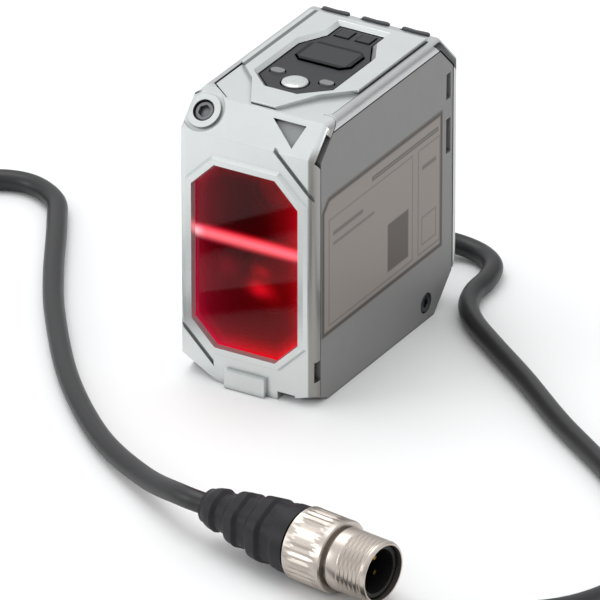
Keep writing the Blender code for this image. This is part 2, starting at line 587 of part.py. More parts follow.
def build_housing():
    """Die-cast box, open to the front and to the right, with rounded top and rear shoulders."""
    seam_slope = BEZEL_SLOPE_THICKNESS + GAP
    profile = profile_inset(0, 0, 0, 0, 0, seam_slope, BEZEL_THICKNESS + GAP)
    mesh_data = prism_mesh(profile, -SIDE, SIDE, "X")
    corners = {4, 3, 2, 5}
    round_points = [Vector(profile[i]) for i in corners]
    chosen = []
    for edge in mesh_data.edges:
        ends = [Vector((v.co.y, v.co.z)) for v in edge.verts]
        flat = abs(edge.verts[0].co.x - edge.verts[1].co.x) < 1e-6
        if flat and all(any((e - p).length < 1e-6 for p in round_points) for e in ends):
            chosen.append(edge)
    bevel_edges(mesh_data, chosen, SHOULDER_RADIUS, 4)
    housing = finish_mesh("main_housing", mesh_data, die_cast)

    cavity_profile = profile_inset(BOTTOM_WALL, BOTTOM_WALL, REAR_WALL, REAR_WALL, TOP_WALL,
                                   seam_slope + SLOPE_WALL, -BEZEL_THICKNESS)
    cavity = prism("housing_cavity_cutter", cavity_profile, CAVITY_LEFT, SIDE, "X")
    rebate = prism("side_rebate_cutter", side_cover_outline(GAP), CAVITY_RIGHT,
                   SIDE + 5 * MM, "X")
    window_seat = prism("window_seat_cutter", window_outline(WINDOW_LAP + GAP), FRONT,
                        HOLDER_FRONT + GAP, "Y")
    cover_seat = prism("cover_seat_cutter", top_cover_outline(GAP), COVER_SEAT,
                       BODY_HEIGHT + MM, "Z")
    panel_pocket = prism("panel_pocket_cutter", panel_outline(PANEL_FLANGE + GAP), POCKET_FLOOR,
                         BODY_HEIGHT + MM, "Z")
    panel_hole = prism("panel_hole_cutter", panel_outline(PANEL_FLANGE - LEDGE_UNDER_PANEL),
                       LEDGE - TOP_WALL - MM, BODY_HEIGHT, "Z")
    cut(housing, cavity, rebate, window_seat, cover_seat, panel_pocket, panel_hole)

    slot_rear = REAR - REAR_TOP_CHAMFER + VENT_SLOT_OVERRUN
    for i in (-1, 0, 1):
        slot = box("vent_slot_cutter",
                   (i * VENT_SLOT_PITCH - VENT_SLOT_LENGTH / 2, slot_rear - VENT_SLOT_WIDTH,
                    LEDGE - VENT_SLOT_DEPTH),
                   (i * VENT_SLOT_PITCH + VENT_SLOT_LENGTH / 2, slot_rear, BODY_HEIGHT))
        cut(housing, slot)

    boss_start = REAR - REAR_BOTTOM_CHAMFER - 1.5 * MM
    boss = lay_along(rod("outlet_boss", OUTLET_BOSS_RADIUS, OUTLET_BOSS_END - boss_start,
                         segments=28), (0, boss_start, OUTLET_HEIGHT), (0, 1, 0))
    bore = lay_along(rod("outlet_bore_cutter", OUTLET_BORE_RADIUS, 16 * MM, segments=24),
                     (0, boss_start - 5 * MM, OUTLET_HEIGHT), (0, 1, 0))
    clearance = lay_along(rod("gland_clearance_cutter", GLAND_HEAD_RADIUS + GAP, 12 * MM, segments=28),
                          (0, OUTLET_BOSS_END, OUTLET_HEIGHT), (0, 1, 0))
    join(housing, boss)
    cut(housing, bore, clearance)

    ear_boss_depth = seam_slope + SLOPE_WALL + EAR_BOSS_REACH
    ear_boss = lay_along(rod("ear_boss", EAR_HOLE_RADIUS + EAR_BOSS_WALL, EAR_BOSS_LENGTH, segments=20),
                         slope_point(EAR_X, EAR_RISE, ear_boss_depth - EAR_BOSS_LENGTH), SLOPE_INWARD)
    ear_bore = lay_along(rod("ear_bore_cutter", BEZEL_SCREW_SHANK_RADIUS + GAP, EAR_BORE_LENGTH,
                             segments=16),
                         slope_point(EAR_X, EAR_RISE, seam_slope - MM), SLOPE_INWARD)
    join(housing, ear_boss)
    cut(housing, ear_bore)

    for y, z in standoff_places():
        post = lay_along(rod("standoff", STANDOFF_RADIUS, STANDOFF_LENGTH + MM, segments=16),
                         (CAVITY_LEFT - MM, y, z), (1, 0, 0))
        join(housing, post)
    for y, z in standoff_places():
        thread = lay_along(rod("standoff_bore_cutter", BOARD_SCREW_SHANK_RADIUS + GAP,
                               STANDOFF_LENGTH + 0.8 * MM, segments=12),
                           (CAVITY_LEFT - 0.6 * MM, y, z), (1, 0, 0))
        cut(housing, thread)
    y, z = SIDE_SCREW_PLACE
    lug_half = SIDE_SCREW_HEAD_RADIUS + 0.5 * MM
    lug = box("side_screw_lug", (CAVITY_RIGHT - SIDE_SCREW_LENGTH - MM, y - lug_half, BOTTOM_WALL / 2),
              (CAVITY_RIGHT - GAP, y + lug_half, z + lug_half))
    join(housing, lug)
    thread = lay_along(rod("side_screw_bore_cutter", SIDE_SCREW_SHANK_RADIUS + GAP,
                           SIDE_SCREW_LENGTH + 2 * MM, segments=12),
                       (CAVITY_RIGHT - SIDE_SCREW_LENGTH, y, z), (1, 0, 0))
    cut(housing, thread, front_corner_cutter(-1), front_corner_cutter(1))
    return housing


def standoff_places():
    """Centres of the three posts that carry the main board, as (y, z)."""
    front, back = MAIN_BOARD_FRONT + BOARD_SCREW_INSET, MAIN_BOARD_REAR - BOARD_SCREW_INSET
    low, high = MAIN_BOARD_BOTTOM + BOARD_SCREW_INSET, MAIN_BOARD_TOP - BOARD_SCREW_INSET
    return ((front, low), (front, high), (back, high))


def block_beyond(name, point, outward, size=60 * MM):
    """A block whose flat face passes through a point and which fills the side it looks out to."""
    block = box(name, (0, -size, -size), (size, size, size))
    return lay_along(block, point, outward)


def facet_cutter(name, a, b, c, outward):
    """A block that fills everything beyond the plane through three points."""
    a, b, c = Vector(a), Vector(b), Vector(c)
    normal = (b - a).cross(c - a).normalized()
    if normal.dot(Vector(outward)) < 0:
        normal = -normal
    return block_beyond(name, (a + b + c) / 3, normal)


def front_corner_cutter(side):
    """The slanted facet that takes off a lower front corner, large on the left, small on the right."""
    width, height, depth = CORNER_FACET_WIDTH, CORNER_FACET_HEIGHT, CORNER_FACET_DEPTH
    if side > 0:
        width, height, depth = RIGHT_FACET_WIDTH, RIGHT_FACET_HEIGHT, RIGHT_FACET_DEPTH
    corner = Vector((side * SIDE, PLATE_FRONT, 0.0))
    return facet_cutter("front_corner_cutter", corner - Vector((side * width, 0, 0)),
                        corner + Vector((0, depth, 0)), corner + Vector((0, 0, height)),
                        (side, -1, -1))


def slope_prism(name, outline, shallow, deep):
    """A prism square to the front slope, from (x, rise) points, between two depths."""
    mesh_data = bmesh.new()
    first = [mesh_data.verts.new(slope_point(x, rise, shallow)) for x, rise in outline]
    last = [mesh_data.verts.new(slope_point(x, rise, deep)) for x, rise in outline]
    mesh_data.faces.new(first)
    mesh_data.faces.new(last)
    for i in range(len(first)):
        j = (i + 1) % len(first)
        mesh_data.faces.new((first[i], first[j], last[j], last[i]))
    return finish_mesh(name, mesh_data, None, False)


def stack(name, sections, material=None, smooth=False):
    """A solid through (z, outline) sections that all have the same number of points."""
    mesh_data = bmesh.new()
    rows = [[mesh_data.verts.new((x, y, z)) for x, y in outline] for z, outline in sections]
    mesh_data.faces.new(rows[0])
    mesh_data.faces.new(rows[-1])
    for lower, upper in zip(rows, rows[1:]):
        for i in range(len(lower)):
            j = (i + 1) % len(lower)
            mesh_data.faces.new((lower[i], lower[j], upper[j], upper[i]))
    return finish_mesh(name, mesh_data, material, smooth)


def screw(name, head_radius, head_height, shank_radius, shank_length, start, direction):
    """A screw with its head's outer face at the start, pointing in a direction."""
    edge = 0.15 * MM
    profile = [(0, 0), (0, head_radius - edge), (edge, head_radius), (head_height, head_radius),
               (head_height, shank_radius), (head_height + shank_length, shank_radius),
               (head_height + shank_length, 0)]
    return lay_along(turned(name, profile, steel, 20), start, direction)


def lens(name, radius, edge, bulge, material, start, direction, segments=32):
    """A lens with two domes and a plain edge."""
    steps = 5
    front = [(bulge * (i / steps) ** 2, radius * i / steps) for i in range(steps + 1)]
    back = [(2 * bulge + edge - x, r) for x, r in reversed(front)]
    return lay_along(turned(name, front + back, material, segments), start, direction)


def diagonal_groove(name, total, first_x, last_x):
    """A groove on the front plate along the line x + z = total."""
    half = GROOVE_WIDTH / 2 * math.sqrt(2)
    outline = [(first_x, total - first_x - half), (last_x, total - last_x - half),
               (last_x, total - last_x + half), (first_x, total - first_x + half)]
    return prism(name, outline, FRONT - MM, PLATE_FRONT + GROOVE_DEPTH, "Y")


def build_side_cover():
    """Flat cover over the right side, with two sunk slots and a sunk screw."""
    cover = prism("side_cover", side_cover_outline(0.0), COVER_INNER, SIDE, "X", side_metal)
    edge = REAR - SIDE_COVER_INSET - SIDE_SLOT_EDGE
    for drop, length in ((UPPER_SIDE_SLOT_DROP, UPPER_SIDE_SLOT_LENGTH),
                         (LOWER_SIDE_SLOT_DROP, LOWER_SIDE_SLOT_LENGTH)):
        low = BODY_HEIGHT - drop
        cut(cover, box("side_slot_cutter", (SIDE - SIDE_SLOT_DEPTH, edge - SIDE_SLOT_WIDTH, low),
                       (SIDE + MM, edge, low + length)))
    y, z = SIDE_SCREW_PLACE
    sink = SIDE_SCREW_HEAD_HEIGHT + GAP + 0.1 * MM
    cut(cover, lay_along(rod("side_screw_sink_cutter", SIDE_SCREW_HEAD_RADIUS + GAP, sink + MM),
                         (SIDE - sink, y, z), (1, 0, 0)))
    cut(cover, lay_along(rod("side_screw_hole_cutter", SIDE_SCREW_SHANK_RADIUS + GAP, 4 * MM,
                             segments=16), (COVER_INNER - MM, y, z), (1, 0, 0)),
        front_corner_cutter(1))
    screw("side_cover_screw", SIDE_SCREW_HEAD_RADIUS, SIDE_SCREW_HEAD_HEIGHT,
          SIDE_SCREW_SHANK_RADIUS, SIDE_SCREW_LENGTH, (SIDE - 0.1 * MM, y, z), (-1, 0, 0))


def build_bezel():
    """Bent front plate: window rim, sloped ear with its screw, slanted corners and grooves."""
    low = FRONT_TOP_CHAMFER - BEZEL_STEP
    inner = BEZEL_SLOPE_THICKNESS / DIAGONAL
    rise = LEDGE - FRONT_TOP_CHAMFER
    profile = [(PLATE_FRONT, 0.0), (BEZEL_BACK, 0.0),
               (BEZEL_BACK, rise + BEZEL_THICKNESS - inner),
               (FRONT + FRONT_TOP_CHAMFER + inner, LEDGE), (FRONT + FRONT_TOP_CHAMFER, LEDGE),
               (PLATE_FRONT, LEDGE - low)]
    mesh_data = prism_mesh(profile, -SIDE, SIDE, "X")
    outer = [Vector(profile[i]) for i in (3, 4, 5, 0)]
    chosen = []
    for edge in mesh_data.edges:
        if abs(edge.verts[0].co.x - edge.verts[1].co.x) > 1e-6:
            continue
        ends = [Vector((v.co.y, v.co.z)) for v in edge.verts]
        for p, q in zip(outer, outer[1:]):
            if any((ends[i] - p).length < 1e-6 and (ends[1 - i] - q).length < 1e-6 for i in (0, 1)):
                chosen.append(edge)
    bevel_edges(mesh_data, chosen, SHOULDER_RADIUS, 4)
    bezel = finish_mesh("front_bezel", mesh_data, bezel_metal)

    left = -SIDE
    cut(bezel, facet_cutter("corner_slope_cutter", (left, PLATE_FRONT, LOWER_GROOVE_SUM - left),
                            (LOWER_GROOVE_SUM, PLATE_FRONT, 0.0),
                            (left, PLATE_FRONT + CORNER_SLOPE_DEPTH, 0.0), (0, -1, 0)))
    rim_front = FRONT + RIM_SETBACK
    rim = prism("window_rim", window_outline(RIM_WIDTH - RIM_TAPER), rim_front,
                rim_front + 1.8 * MM, "Y", None, window_outline(RIM_WIDTH + RIM_TAPER * 1.25))
    half = BOTTOM_BLOCK_WIDTH / 2
    block = box("bottom_block", (-half, FRONT, 0.0),
                (half, PLATE_FRONT + MM, BOTTOM_BLOCK_HEIGHT), None, 0.4 * MM)
    join(bezel, rim, block)

    opening = prism("window_opening_cutter", window_outline(0.5 * MM), FRONT - 0.5 * MM,
                    GLASS_FRONT - GAP, "Y", None, window_outline(0.0))
    through = prism("window_through_cutter", window_outline(0.0), GLASS_FRONT - 1.5 * GAP,
                    SEAM + MM, "Y")
    pocket = prism("glass_pocket_cutter", window_outline(WINDOW_LAP + GAP), GLASS_FRONT - GAP,
                   SEAM + MM, "Y")
    notch_half = BOTTOM_NOTCH_WIDTH / 2
    notch = box("bottom_notch_cutter", (BOTTOM_NOTCH_MIDDLE - notch_half, FRONT - MM, -MM),
                (BOTTOM_NOTCH_MIDDLE + notch_half, SEAM + MM, BOTTOM_NOTCH_HEIGHT))
    upper = diagonal_groove("upper_groove_cutter", UPPER_GROOVE_SUM, 6.2 * MM, SIDE + MM)
    lower = diagonal_groove("lower_groove_cutter", LOWER_GROOVE_SUM, -SIDE - MM, -7.6 * MM)
    cut(bezel, opening, through, pocket, notch, upper, lower)

    start = slope_point(EAR_X, EAR_RISE, -MM)
    sink = lay_along(rod("ear_sink_cutter", EAR_HOLE_RADIUS, EAR_COUNTERBORE + MM), start,
                     SLOPE_INWARD)
    hole = lay_along(rod("ear_hole_cutter", BEZEL_SCREW_SHANK_RADIUS + GAP, 8 * MM, segments=16),
                     start, SLOPE_INWARD)
    groove = lay_along(ring("ear_ring_cutter", EAR_RING_RADIUS - GROOVE_WIDTH / 2,
                            EAR_RING_RADIUS + GROOVE_WIDTH / 2, GROOVE_DEPTH + MM),
                       start, SLOPE_INWARD)
    recess = slope_prism("slope_recess_cutter", [(3.4 * MM, 8.4 * MM), (9.7 * MM, 3.2 * MM),
                                                 (11.0 * MM, 8.4 * MM)],
                         -MM, CORNER_RECESS_DEPTH)
    slanted = slope_prism("slope_notch_cutter",
                          rectangle(SIDE - SIDE_NOTCH_DEPTH, SIDE + MM, 1.6 * MM,
                                    1.6 * MM + SLOPE_NOTCH_LENGTH),
                          BEZEL_SLOPE_THICKNESS - SIDE_NOTCH_WIDTH, BEZEL_SLOPE_THICKNESS + MM)
    side_notch = box("side_notch_cutter",
                     (SIDE - SIDE_NOTCH_DEPTH, BEZEL_BACK - SIDE_NOTCH_WIDTH, SIDE_NOTCH_BOTTOM),
                     (SIDE + MM, SEAM, SIDE_NOTCH_BOTTOM + SIDE_NOTCH_LENGTH))
    nose = prism("nose_seat_cutter", top_cover_outline(GAP), COVER_SEAT, BODY_HEIGHT + MM, "Z")
    cut(bezel, sink, hole, groove, recess, slanted, side_notch, nose, front_corner_cutter(-1),
        front_corner_cutter(1))

    head = slope_point(EAR_X, EAR_RISE, EAR_COUNTERBORE - GAP - BEZEL_SCREW_HEAD_HEIGHT)
    screw("bezel_screw", BEZEL_SCREW_HEAD_RADIUS, BEZEL_SCREW_HEAD_HEIGHT,
          BEZEL_SCREW_SHANK_RADIUS, BEZEL_SCREW_LENGTH, head, SLOPE_INWARD)


def build_window():
    prism("front_window", window_outline(WINDOW_LAP), GLASS_FRONT, GLASS_BACK, "Y", red_filter)
    gasket = prism("window_gasket", window_outline(WINDOW_LAP), GLASS_BACK + GAP,
                   WINDOW_GASKET_BACK, "Y", seal_rubber)
    cut(gasket, prism("window_gasket_cutter", window_outline(WINDOW_LAP - WINDOW_GASKET_WIDTH),
                      GLASS_BACK - MM, WINDOW_GASKET_BACK + MM, "Y"))


def build_holder():
    """Moulded block behind the window, with an upper chamber for the laser and a lower one."""
    holder = box("optics_holder", (-HOLDER_HALF_WIDTH, HOLDER_FRONT, HOLDER_BOTTOM),
                 (HOLDER_HALF_WIDTH, HOLDER_BACK, HOLDER_TOP), black_plastic)
    half = WINDOW_HALF_WIDTH - HOLDER_RECESS_INSET
    low, high = WINDOW_BOTTOM + HOLDER_RECESS_INSET, WINDOW_TOP - HOLDER_RECESS_INSET
    under, over = DIVIDER_HEIGHT - DIVIDER_THICKNESS / 2, DIVIDER_HEIGHT + DIVIDER_THICKNESS / 2
    corner = WINDOW_CORNER
    front, step = HOLDER_FRONT - MM, HOLDER_FRONT + HOLDER_FRAME_STEP
    upper = [(-half, over), (half, over), (half, high - corner), (half - corner, high),
             (-half + corner, high), (-half, high - corner)]
    lower = [(-half + corner, low), (half - corner, low), (half, low + corner), (half, under),
             (-half, under), (-half, low + corner)]
    cut(holder, prism("upper_recess_cutter", upper, front, step, "Y"),
        prism("lower_recess_cutter", lower, front, step, "Y"))
    wide, edge = CHAMBER_HALF_WIDTH, 0.7 * MM
    barrel, eye = EMITTER_BARREL_RADIUS + 0.8 * MM, RECEIVER_LENS_RADIUS + 0.6 * MM
    cut(holder, prism("upper_funnel_cutter", rectangle(-wide, wide, over + edge, high - edge),
                      step - 0.2 * MM, BARREL_START, "Y", None,
                      rectangle(-barrel, barrel, EMITTER_HEIGHT - barrel, EMITTER_HEIGHT + barrel)),
        prism("lower_funnel_cutter", rectangle(-wide, wide, low + edge, under - edge),
              step - 0.2 * MM, LENS_SEAT, "Y", None,
              rectangle(-eye, eye, RECEIVER_HEIGHT - eye, RECEIVER_HEIGHT + eye)))
    forward = (0, 1, 0)
    lens_depth = 1.2 * MM + GAP + RECEIVER_LENS_THICKNESS + GAP
    cut(holder, lay_along(rod("emitter_bore_cutter", EMITTER_BARREL_RADIUS + GAP, 30 * MM, segments=32),
                          (0, BARREL_START - 0.5 * MM, EMITTER_HEIGHT), forward),
        lay_along(rod("lens_bore_cutter", RECEIVER_LENS_RADIUS + GAP, lens_depth + 0.5 * MM,
                      segments=40), (0, LENS_SEAT - 0.5 * MM, RECEIVER_HEIGHT), forward),
        lay_along(rod("image_bore_cutter", RECEIVER_LENS_RADIUS - LENS_RING_WIDTH, 30 * MM,
                      segments=32), (0, LENS_SEAT, RECEIVER_HEIGHT), forward))

    r, length = EMITTER_BARREL_RADIUS, EMITTER_BARREL_LENGTH
    mouth, can = EMITTER_LENS_RADIUS + GAP, LASER_CAN_RADIUS + GAP
    seat = 0.6 * MM + EMITTER_LENS_THICKNESS + GAP
    profile = [(0, mouth), (0, r), (length, r), (length, can), (length - 5 * MM, can),
               (length - 5 * MM, can - 0.8 * MM), (seat, can - 0.8 * MM), (seat, mouth), (0, mouth)]
    lay_along(turned("emitter_barrel", profile, brass, 32), (0, BARREL_START, EMITTER_HEIGHT), forward)
    bulge = 0.5 * MM
    lens("emitter_lens", EMITTER_LENS_RADIUS, EMITTER_LENS_THICKNESS - 2 * bulge, bulge, clear_glass,
         (0, BARREL_START + 0.6 * MM, EMITTER_HEIGHT), forward, 28)
    lay_along(rod("laser_diode", LASER_CAN_RADIUS, LASER_CAN_LENGTH, gold_pin),
              (0, BARREL_START + length - 5 * MM + GAP, EMITTER_HEIGHT), forward)
    lay_along(ring("lens_retaining_ring", RECEIVER_LENS_RADIUS - LENS_RING_WIDTH,
                   RECEIVER_LENS_RADIUS, 1.2 * MM, black_plastic, 40),
              (0, LENS_SEAT, RECEIVER_HEIGHT), forward)
    bulge = 1.2 * MM
    lens("receiver_lens", RECEIVER_LENS_RADIUS, RECEIVER_LENS_THICKNESS - 2 * bulge, bulge,
         clear_glass, (0, LENS_SEAT + 1.2 * MM + GAP, RECEIVER_HEIGHT), forward, 40)
    half = HOLDER_HALF_WIDTH - RECEIVER_BOARD_SIDE_STEP
    box("receiver_board", (-half, RECEIVER_BOARD_FRONT, HOLDER_BOTTOM + RECEIVER_BOARD_RISE),
        (half, RECEIVER_BOARD_FRONT + BOARD_THICKNESS, DIVIDER_HEIGHT), green_board)
    box("image_sensor_chip", (-IMAGE_CHIP_WIDTH / 2, RECEIVER_BOARD_FRONT - GAP - IMAGE_CHIP_THICKNESS,
                              RECEIVER_HEIGHT - IMAGE_CHIP_HEIGHT / 2),
        (IMAGE_CHIP_WIDTH / 2, RECEIVER_BOARD_FRONT - GAP, RECEIVER_HEIGHT + IMAGE_CHIP_HEIGHT / 2),
        chip_black)


def build_main_board():
    """Circuit board on three posts of the left wall, with its screws and largest parts."""
    board = box("main_circuit_board", (MAIN_BOARD_LEFT, MAIN_BOARD_FRONT, MAIN_BOARD_BOTTOM),
                (MAIN_BOARD_RIGHT, MAIN_BOARD_REAR, MAIN_BOARD_TOP), green_board)
    for i, (y, z) in enumerate(standoff_places()):
        cut(board, lay_along(rod("board_hole_cutter", BOARD_SCREW_SHANK_RADIUS + GAP, 4 * MM,
                                 segments=16), (MAIN_BOARD_LEFT - MM, y, z), (1, 0, 0)))
        head = MAIN_BOARD_RIGHT + GAP + BOARD_SCREW_HEAD_HEIGHT
        screw("board_screw_%d" % (i + 1), BOARD_SCREW_HEAD_RADIUS, BOARD_SCREW_HEAD_HEIGHT,
              BOARD_SCREW_SHANK_RADIUS, BOARD_SCREW_LENGTH, (head, y, z), (-1, 0, 0))
    on_board = MAIN_BOARD_RIGHT + GAP
    y, z = (MAIN_BOARD_FRONT + MAIN_BOARD_REAR) / 2, MAIN_BOARD_BOTTOM + PROCESSOR_RISE
    half = PROCESSOR_SIZE / 2
    box("processor_chip", (on_board, y - half, z - half),
        (on_board + PROCESSOR_THICKNESS, y + half, z + half), chip_black)
    y, z, half = MAIN_BOARD_FRONT + COIL_INSET, MAIN_BOARD_BOTTOM + COIL_RISE, COIL_SIZE / 2
    box("supply_coil", (on_board, y - half, z - half), (on_board + COIL_HEIGHT, y + half, z + half),
        chip_black, 0.5 * MM)
    rear, z = MAIN_BOARD_REAR - HEADER_INSET, MAIN_BOARD_BOTTOM + HEADER_RISE
    box("cable_header", (on_board, rear - HEADER_WIDTH, z),
        (on_board + HEADER_HEIGHT, rear, z + HEADER_LENGTH), black_plastic)


def build_top_cover():
    """Raised top cover with a tongue down its nose and a bevelled opening for the panel."""
    cover = prism("top_cover", top_cover_outline(0.0), COVER_SEAT + GAP, BODY_HEIGHT, "Z", bezel_metal)
    dropped = BODY_HEIGHT - NOSE_DROP
    start = -NOSE_FRONT + NOSE_SLOPE_LENGTH
    cut(cover, facet_cutter("nose_slope_cutter", (-1 * MM, start, BODY_HEIGHT), (MM, start, BODY_HEIGHT),
                            (0, -NOSE_FRONT, dropped), (0, 0, 1)))
    for side in (-1, 1):
        beside = [(side * TONGUE_HALF_WIDTH, -NOSE_FRONT - MM),
                  (side * TONGUE_HALF_WIDTH, -NOSE_FRONT),
                  (side * TONGUE_ROOT_HALF_WIDTH, -TONGUE_ROOT),
                  (side * (TOP_COVER_HALF_WIDTH + MM), -TONGUE_ROOT + TONGUE_SPREAD + MM),
                  (side * (TOP_COVER_HALF_WIDTH + MM), -NOSE_FRONT - MM)]
        cut(cover, prism("tongue_side_cutter", beside, BODY_HEIGHT - TONGUE_STEP, BODY_HEIGHT + MM, "Z"))
    opening = prism("panel_opening_cutter", panel_outline(0.0), COVER_SEAT, BODY_HEIGHT + MM, "Z")
    lip = prism("panel_lip_cutter", panel_outline(0.0), BODY_HEIGHT - PANEL_LIP_BEVEL,
                BODY_HEIGHT + PANEL_LIP_BEVEL, "Z", None, panel_outline(2 * PANEL_LIP_BEVEL))
    cut(cover, opening, lip)


def build_panel():
    """Display panel under the top cover, with its lens, keys, lights and circuit board."""
    flange, raised = panel_outline(PANEL_FLANGE), panel_outline(-GAP)
    base = stack("panel_base", [(PANEL_UNDER, flange), (COVER_SEAT, flange), (COVER_SEAT, raised),
                                (PANEL_TOP, raised)], dark_panel)
    posts = ((-6.9 * MM, 6.0 * MM), (6.9 * MM, 6.0 * MM), (-3.3 * MM, -12.6 * MM), (3.3 * MM, -12.6 * MM))
    for x, y in posts:
        length = PANEL_UNDER - PANEL_BOARD_TOP - GAP + 0.5 * MM
        join(base, lay_along(rod("panel_post", POST_RADIUS, length, segments=12),
                             (x, y, PANEL_BOARD_TOP + GAP), (0, 0, 1)))
    low, high = DISPLAY_MIDDLE - DISPLAY_LENGTH / 2, DISPLAY_MIDDLE + DISPLAY_LENGTH / 2
    pocket_floor = PANEL_TOP - DISPLAY_POCKET_DEPTH
    view = rectangle(-DISPLAY_VIEW_HALF_WIDTH, DISPLAY_VIEW_HALF_WIDTH,
                     DISPLAY_MIDDLE - DISPLAY_VIEW_LENGTH / 2, DISPLAY_MIDDLE + DISPLAY_VIEW_LENGTH / 2)
    cut(base, prism("display_pocket_cutter",
                    octagon(DISPLAY_HALF_WIDTH + GAP, low - GAP, high + GAP, DISPLAY_CORNER + GAP / 2),
                    pocket_floor, PANEL_TOP + MM, "Z"),
        prism("display_view_cutter", view, PANEL_UNDER - MM, PANEL_TOP, "Z"))
    prism("display_lens", octagon(DISPLAY_HALF_WIDTH, low, high, DISPLAY_CORNER), pocket_floor + GAP,
          pocket_floor + GAP + DISPLAY_LENS_THICKNESS, "Z", smoked_lens)
    half, length = DISPLAY_MODULE_HALF_WIDTH, DISPLAY_MODULE_LENGTH
    box("display_module", (-half, DISPLAY_MIDDLE - length / 2, PANEL_BOARD_TOP + GAP),
        (half, DISPLAY_MIDDLE + length / 2, PANEL_BOARD_TOP + GAP + DISPLAY_MODULE_THICKNESS), chip_black)
    prism("panel_board", panel_outline(-0.5 * MM), PANEL_BOARD_TOP - BOARD_THICKNESS, PANEL_BOARD_TOP,
          "Z", green_board)
    gasket = prism("panel_gasket", flange, POCKET_FLOOR + GAP,
                   POCKET_FLOOR + GAP + PANEL_GASKET_THICKNESS, "Z", seal_rubber)
    cut(gasket, prism("panel_gasket_cutter", panel_outline(PANEL_FLANGE - LEDGE_UNDER_PANEL + 0.15 * MM),
                      POCKET_FLOOR, PANEL_UNDER, "Z"))

    flange_low, flange_high = KEY_FLANGE_LOW - PANEL_TOP, PANEL_UNDER - GAP - PANEL_TOP
    r, f = SET_BUTTON_RADIUS, SET_BUTTON_RADIUS + KEY_FLANGE
    shoulder = 0.2 * MM
    steps = 5
    dome = [(shoulder + (SET_BUTTON_RISE - shoulder) * math.sin(math.pi / 2 * i / steps),
             r * math.cos(math.pi / 2 * i / steps)) for i in range(steps + 1)]
    profile = [(flange_low, 0), (flange_low, f), (flange_high, f), (flange_high, r)] + dome
    lay_along(turned("set_button", profile, silver_key, 32), (0, -SET_BUTTON_POSITION, PANEL_TOP),
              (0, 0, 1))
    cut(base, lay_along(rod("set_button_hole_cutter", r + KEY_CLEARANCE, 6 * MM, segments=32),
                        (0, -SET_BUTTON_POSITION, PANEL_UNDER - MM), (0, 0, 1)))
    places = [(0.0, -SET_BUTTON_POSITION)]
    for name, side in (("left_key", -1), ("right_key", 1)):
        x, y = side * SMALL_KEY_OFFSET, -SMALL_KEY_POSITION
        places.append((x, y))
        body = stadium(SMALL_KEY_HALF_LENGTH, SMALL_KEY_HALF_WIDTH, (0, 0))
        wide = stadium(SMALL_KEY_HALF_LENGTH + KEY_FLANGE, SMALL_KEY_HALF_WIDTH + KEY_FLANGE, (0, 0))
        key = stack(name, [(flange_low, wide), (flange_high, wide), (flange_high, body),
                           (SMALL_KEY_RISE, body)], grey_key, True)
        key.location = (x, y, PANEL_TOP)
        hole = stadium(SMALL_KEY_HALF_LENGTH + KEY_CLEARANCE, SMALL_KEY_HALF_WIDTH + KEY_CLEARANCE,
                       (x, y))
        cut(base, prism(name + "_hole_cutter", hole, PANEL_UNDER - MM, PANEL_TOP + MM, "Z"))
    half = SWITCH_SIZE / 2
    for name, (x, y) in zip(("set_switch", "left_switch", "right_switch"), places):
        box(name, (x - half, y - half, PANEL_BOARD_TOP + GAP),
            (x + half, y + half, PANEL_BOARD_TOP + GAP + SWITCH_HEIGHT), chip_black)
    for name, side in (("indicator_lens_left", -1), ("indicator_lens_right", 1)):
        x, y = side * INDICATOR_OFFSET, INDICATOR_POSITION
        floor = PANEL_TOP - INDICATOR_POCKET
        w, d = INDICATOR_HALF_WIDTH, INDICATOR_LENGTH / 2
        cut(base, box(name + "_pocket_cutter", (x - w - GAP, y - d - GAP, floor),
                      (x + w + GAP, y + d + GAP, PANEL_TOP + MM)))
        box(name, (x - w, y - d, floor + GAP), (x + w, y + d, floor + GAP + INDICATOR_THICKNESS),
            smoked_lens)


def build_gland():
    lay_along(ring("gland_seal", OUTLET_BORE_RADIUS, GLAND_HEAD_RADIUS - 0.2 * MM,
                   GLAND_SEAL_THICKNESS, seal_rubber), (0, SEAL_START, OUTLET_HEIGHT), (0, 1, 0))
    spigot = OUTLET_BORE_RADIUS - GAP
    head = GLAND_SPIGOT_LENGTH + GLAND_HEAD_LENGTH
    profile = [(0, 0), (0, spigot), (GLAND_SPIGOT_LENGTH, spigot),
               (GLAND_SPIGOT_LENGTH, GLAND_HEAD_RADIUS), (head, GLAND_HEAD_RADIUS),
               (head, GLAND_HEAD_RADIUS - 0.5 * MM),
               (head + GLAND_TAPER_LENGTH, GLAND_TIP_RADIUS), (head + GLAND_TAPER_LENGTH, 0)]
    lay_along(turned("cable_gland", profile, boot_plastic, 28),
              (0, GLAND_START - GLAND_SPIGOT_LENGTH, OUTLET_HEIGHT), (0, 1, 0))


def smooth_route(points, step):
    """Points at even steps along a smooth curve through the route points."""
    ends = [points[0] * 2 - points[1]] + points + [points[-1] * 2 - points[-2]]
    fine = []
    for a, b, c, d in zip(ends, ends[1:], ends[2:], ends[3:]):
        for i in range(24):
            t = i / 24
            fine.append(0.5 * (2 * b + (c - a) * t + (2 * a - 5 * b + 4 * c - d) * t ** 2
                               + (3 * b - a - 3 * c + d) * t ** 3))
    fine.append(points[-1])
    total = sum((q - p).length for p, q in zip(fine, fine[1:]))
    count = round(total / step)
    result, travelled, target = [fine[0]], 0.0, total / count
    for p, q in zip(fine, fine[1:]):
        length = (q - p).length
        while travelled + length >= target and len(result) < count:
            result.append(p.lerp(q, (target - travelled) / length))
            target += total / count
        travelled += length
    return result + [fine[-1]]


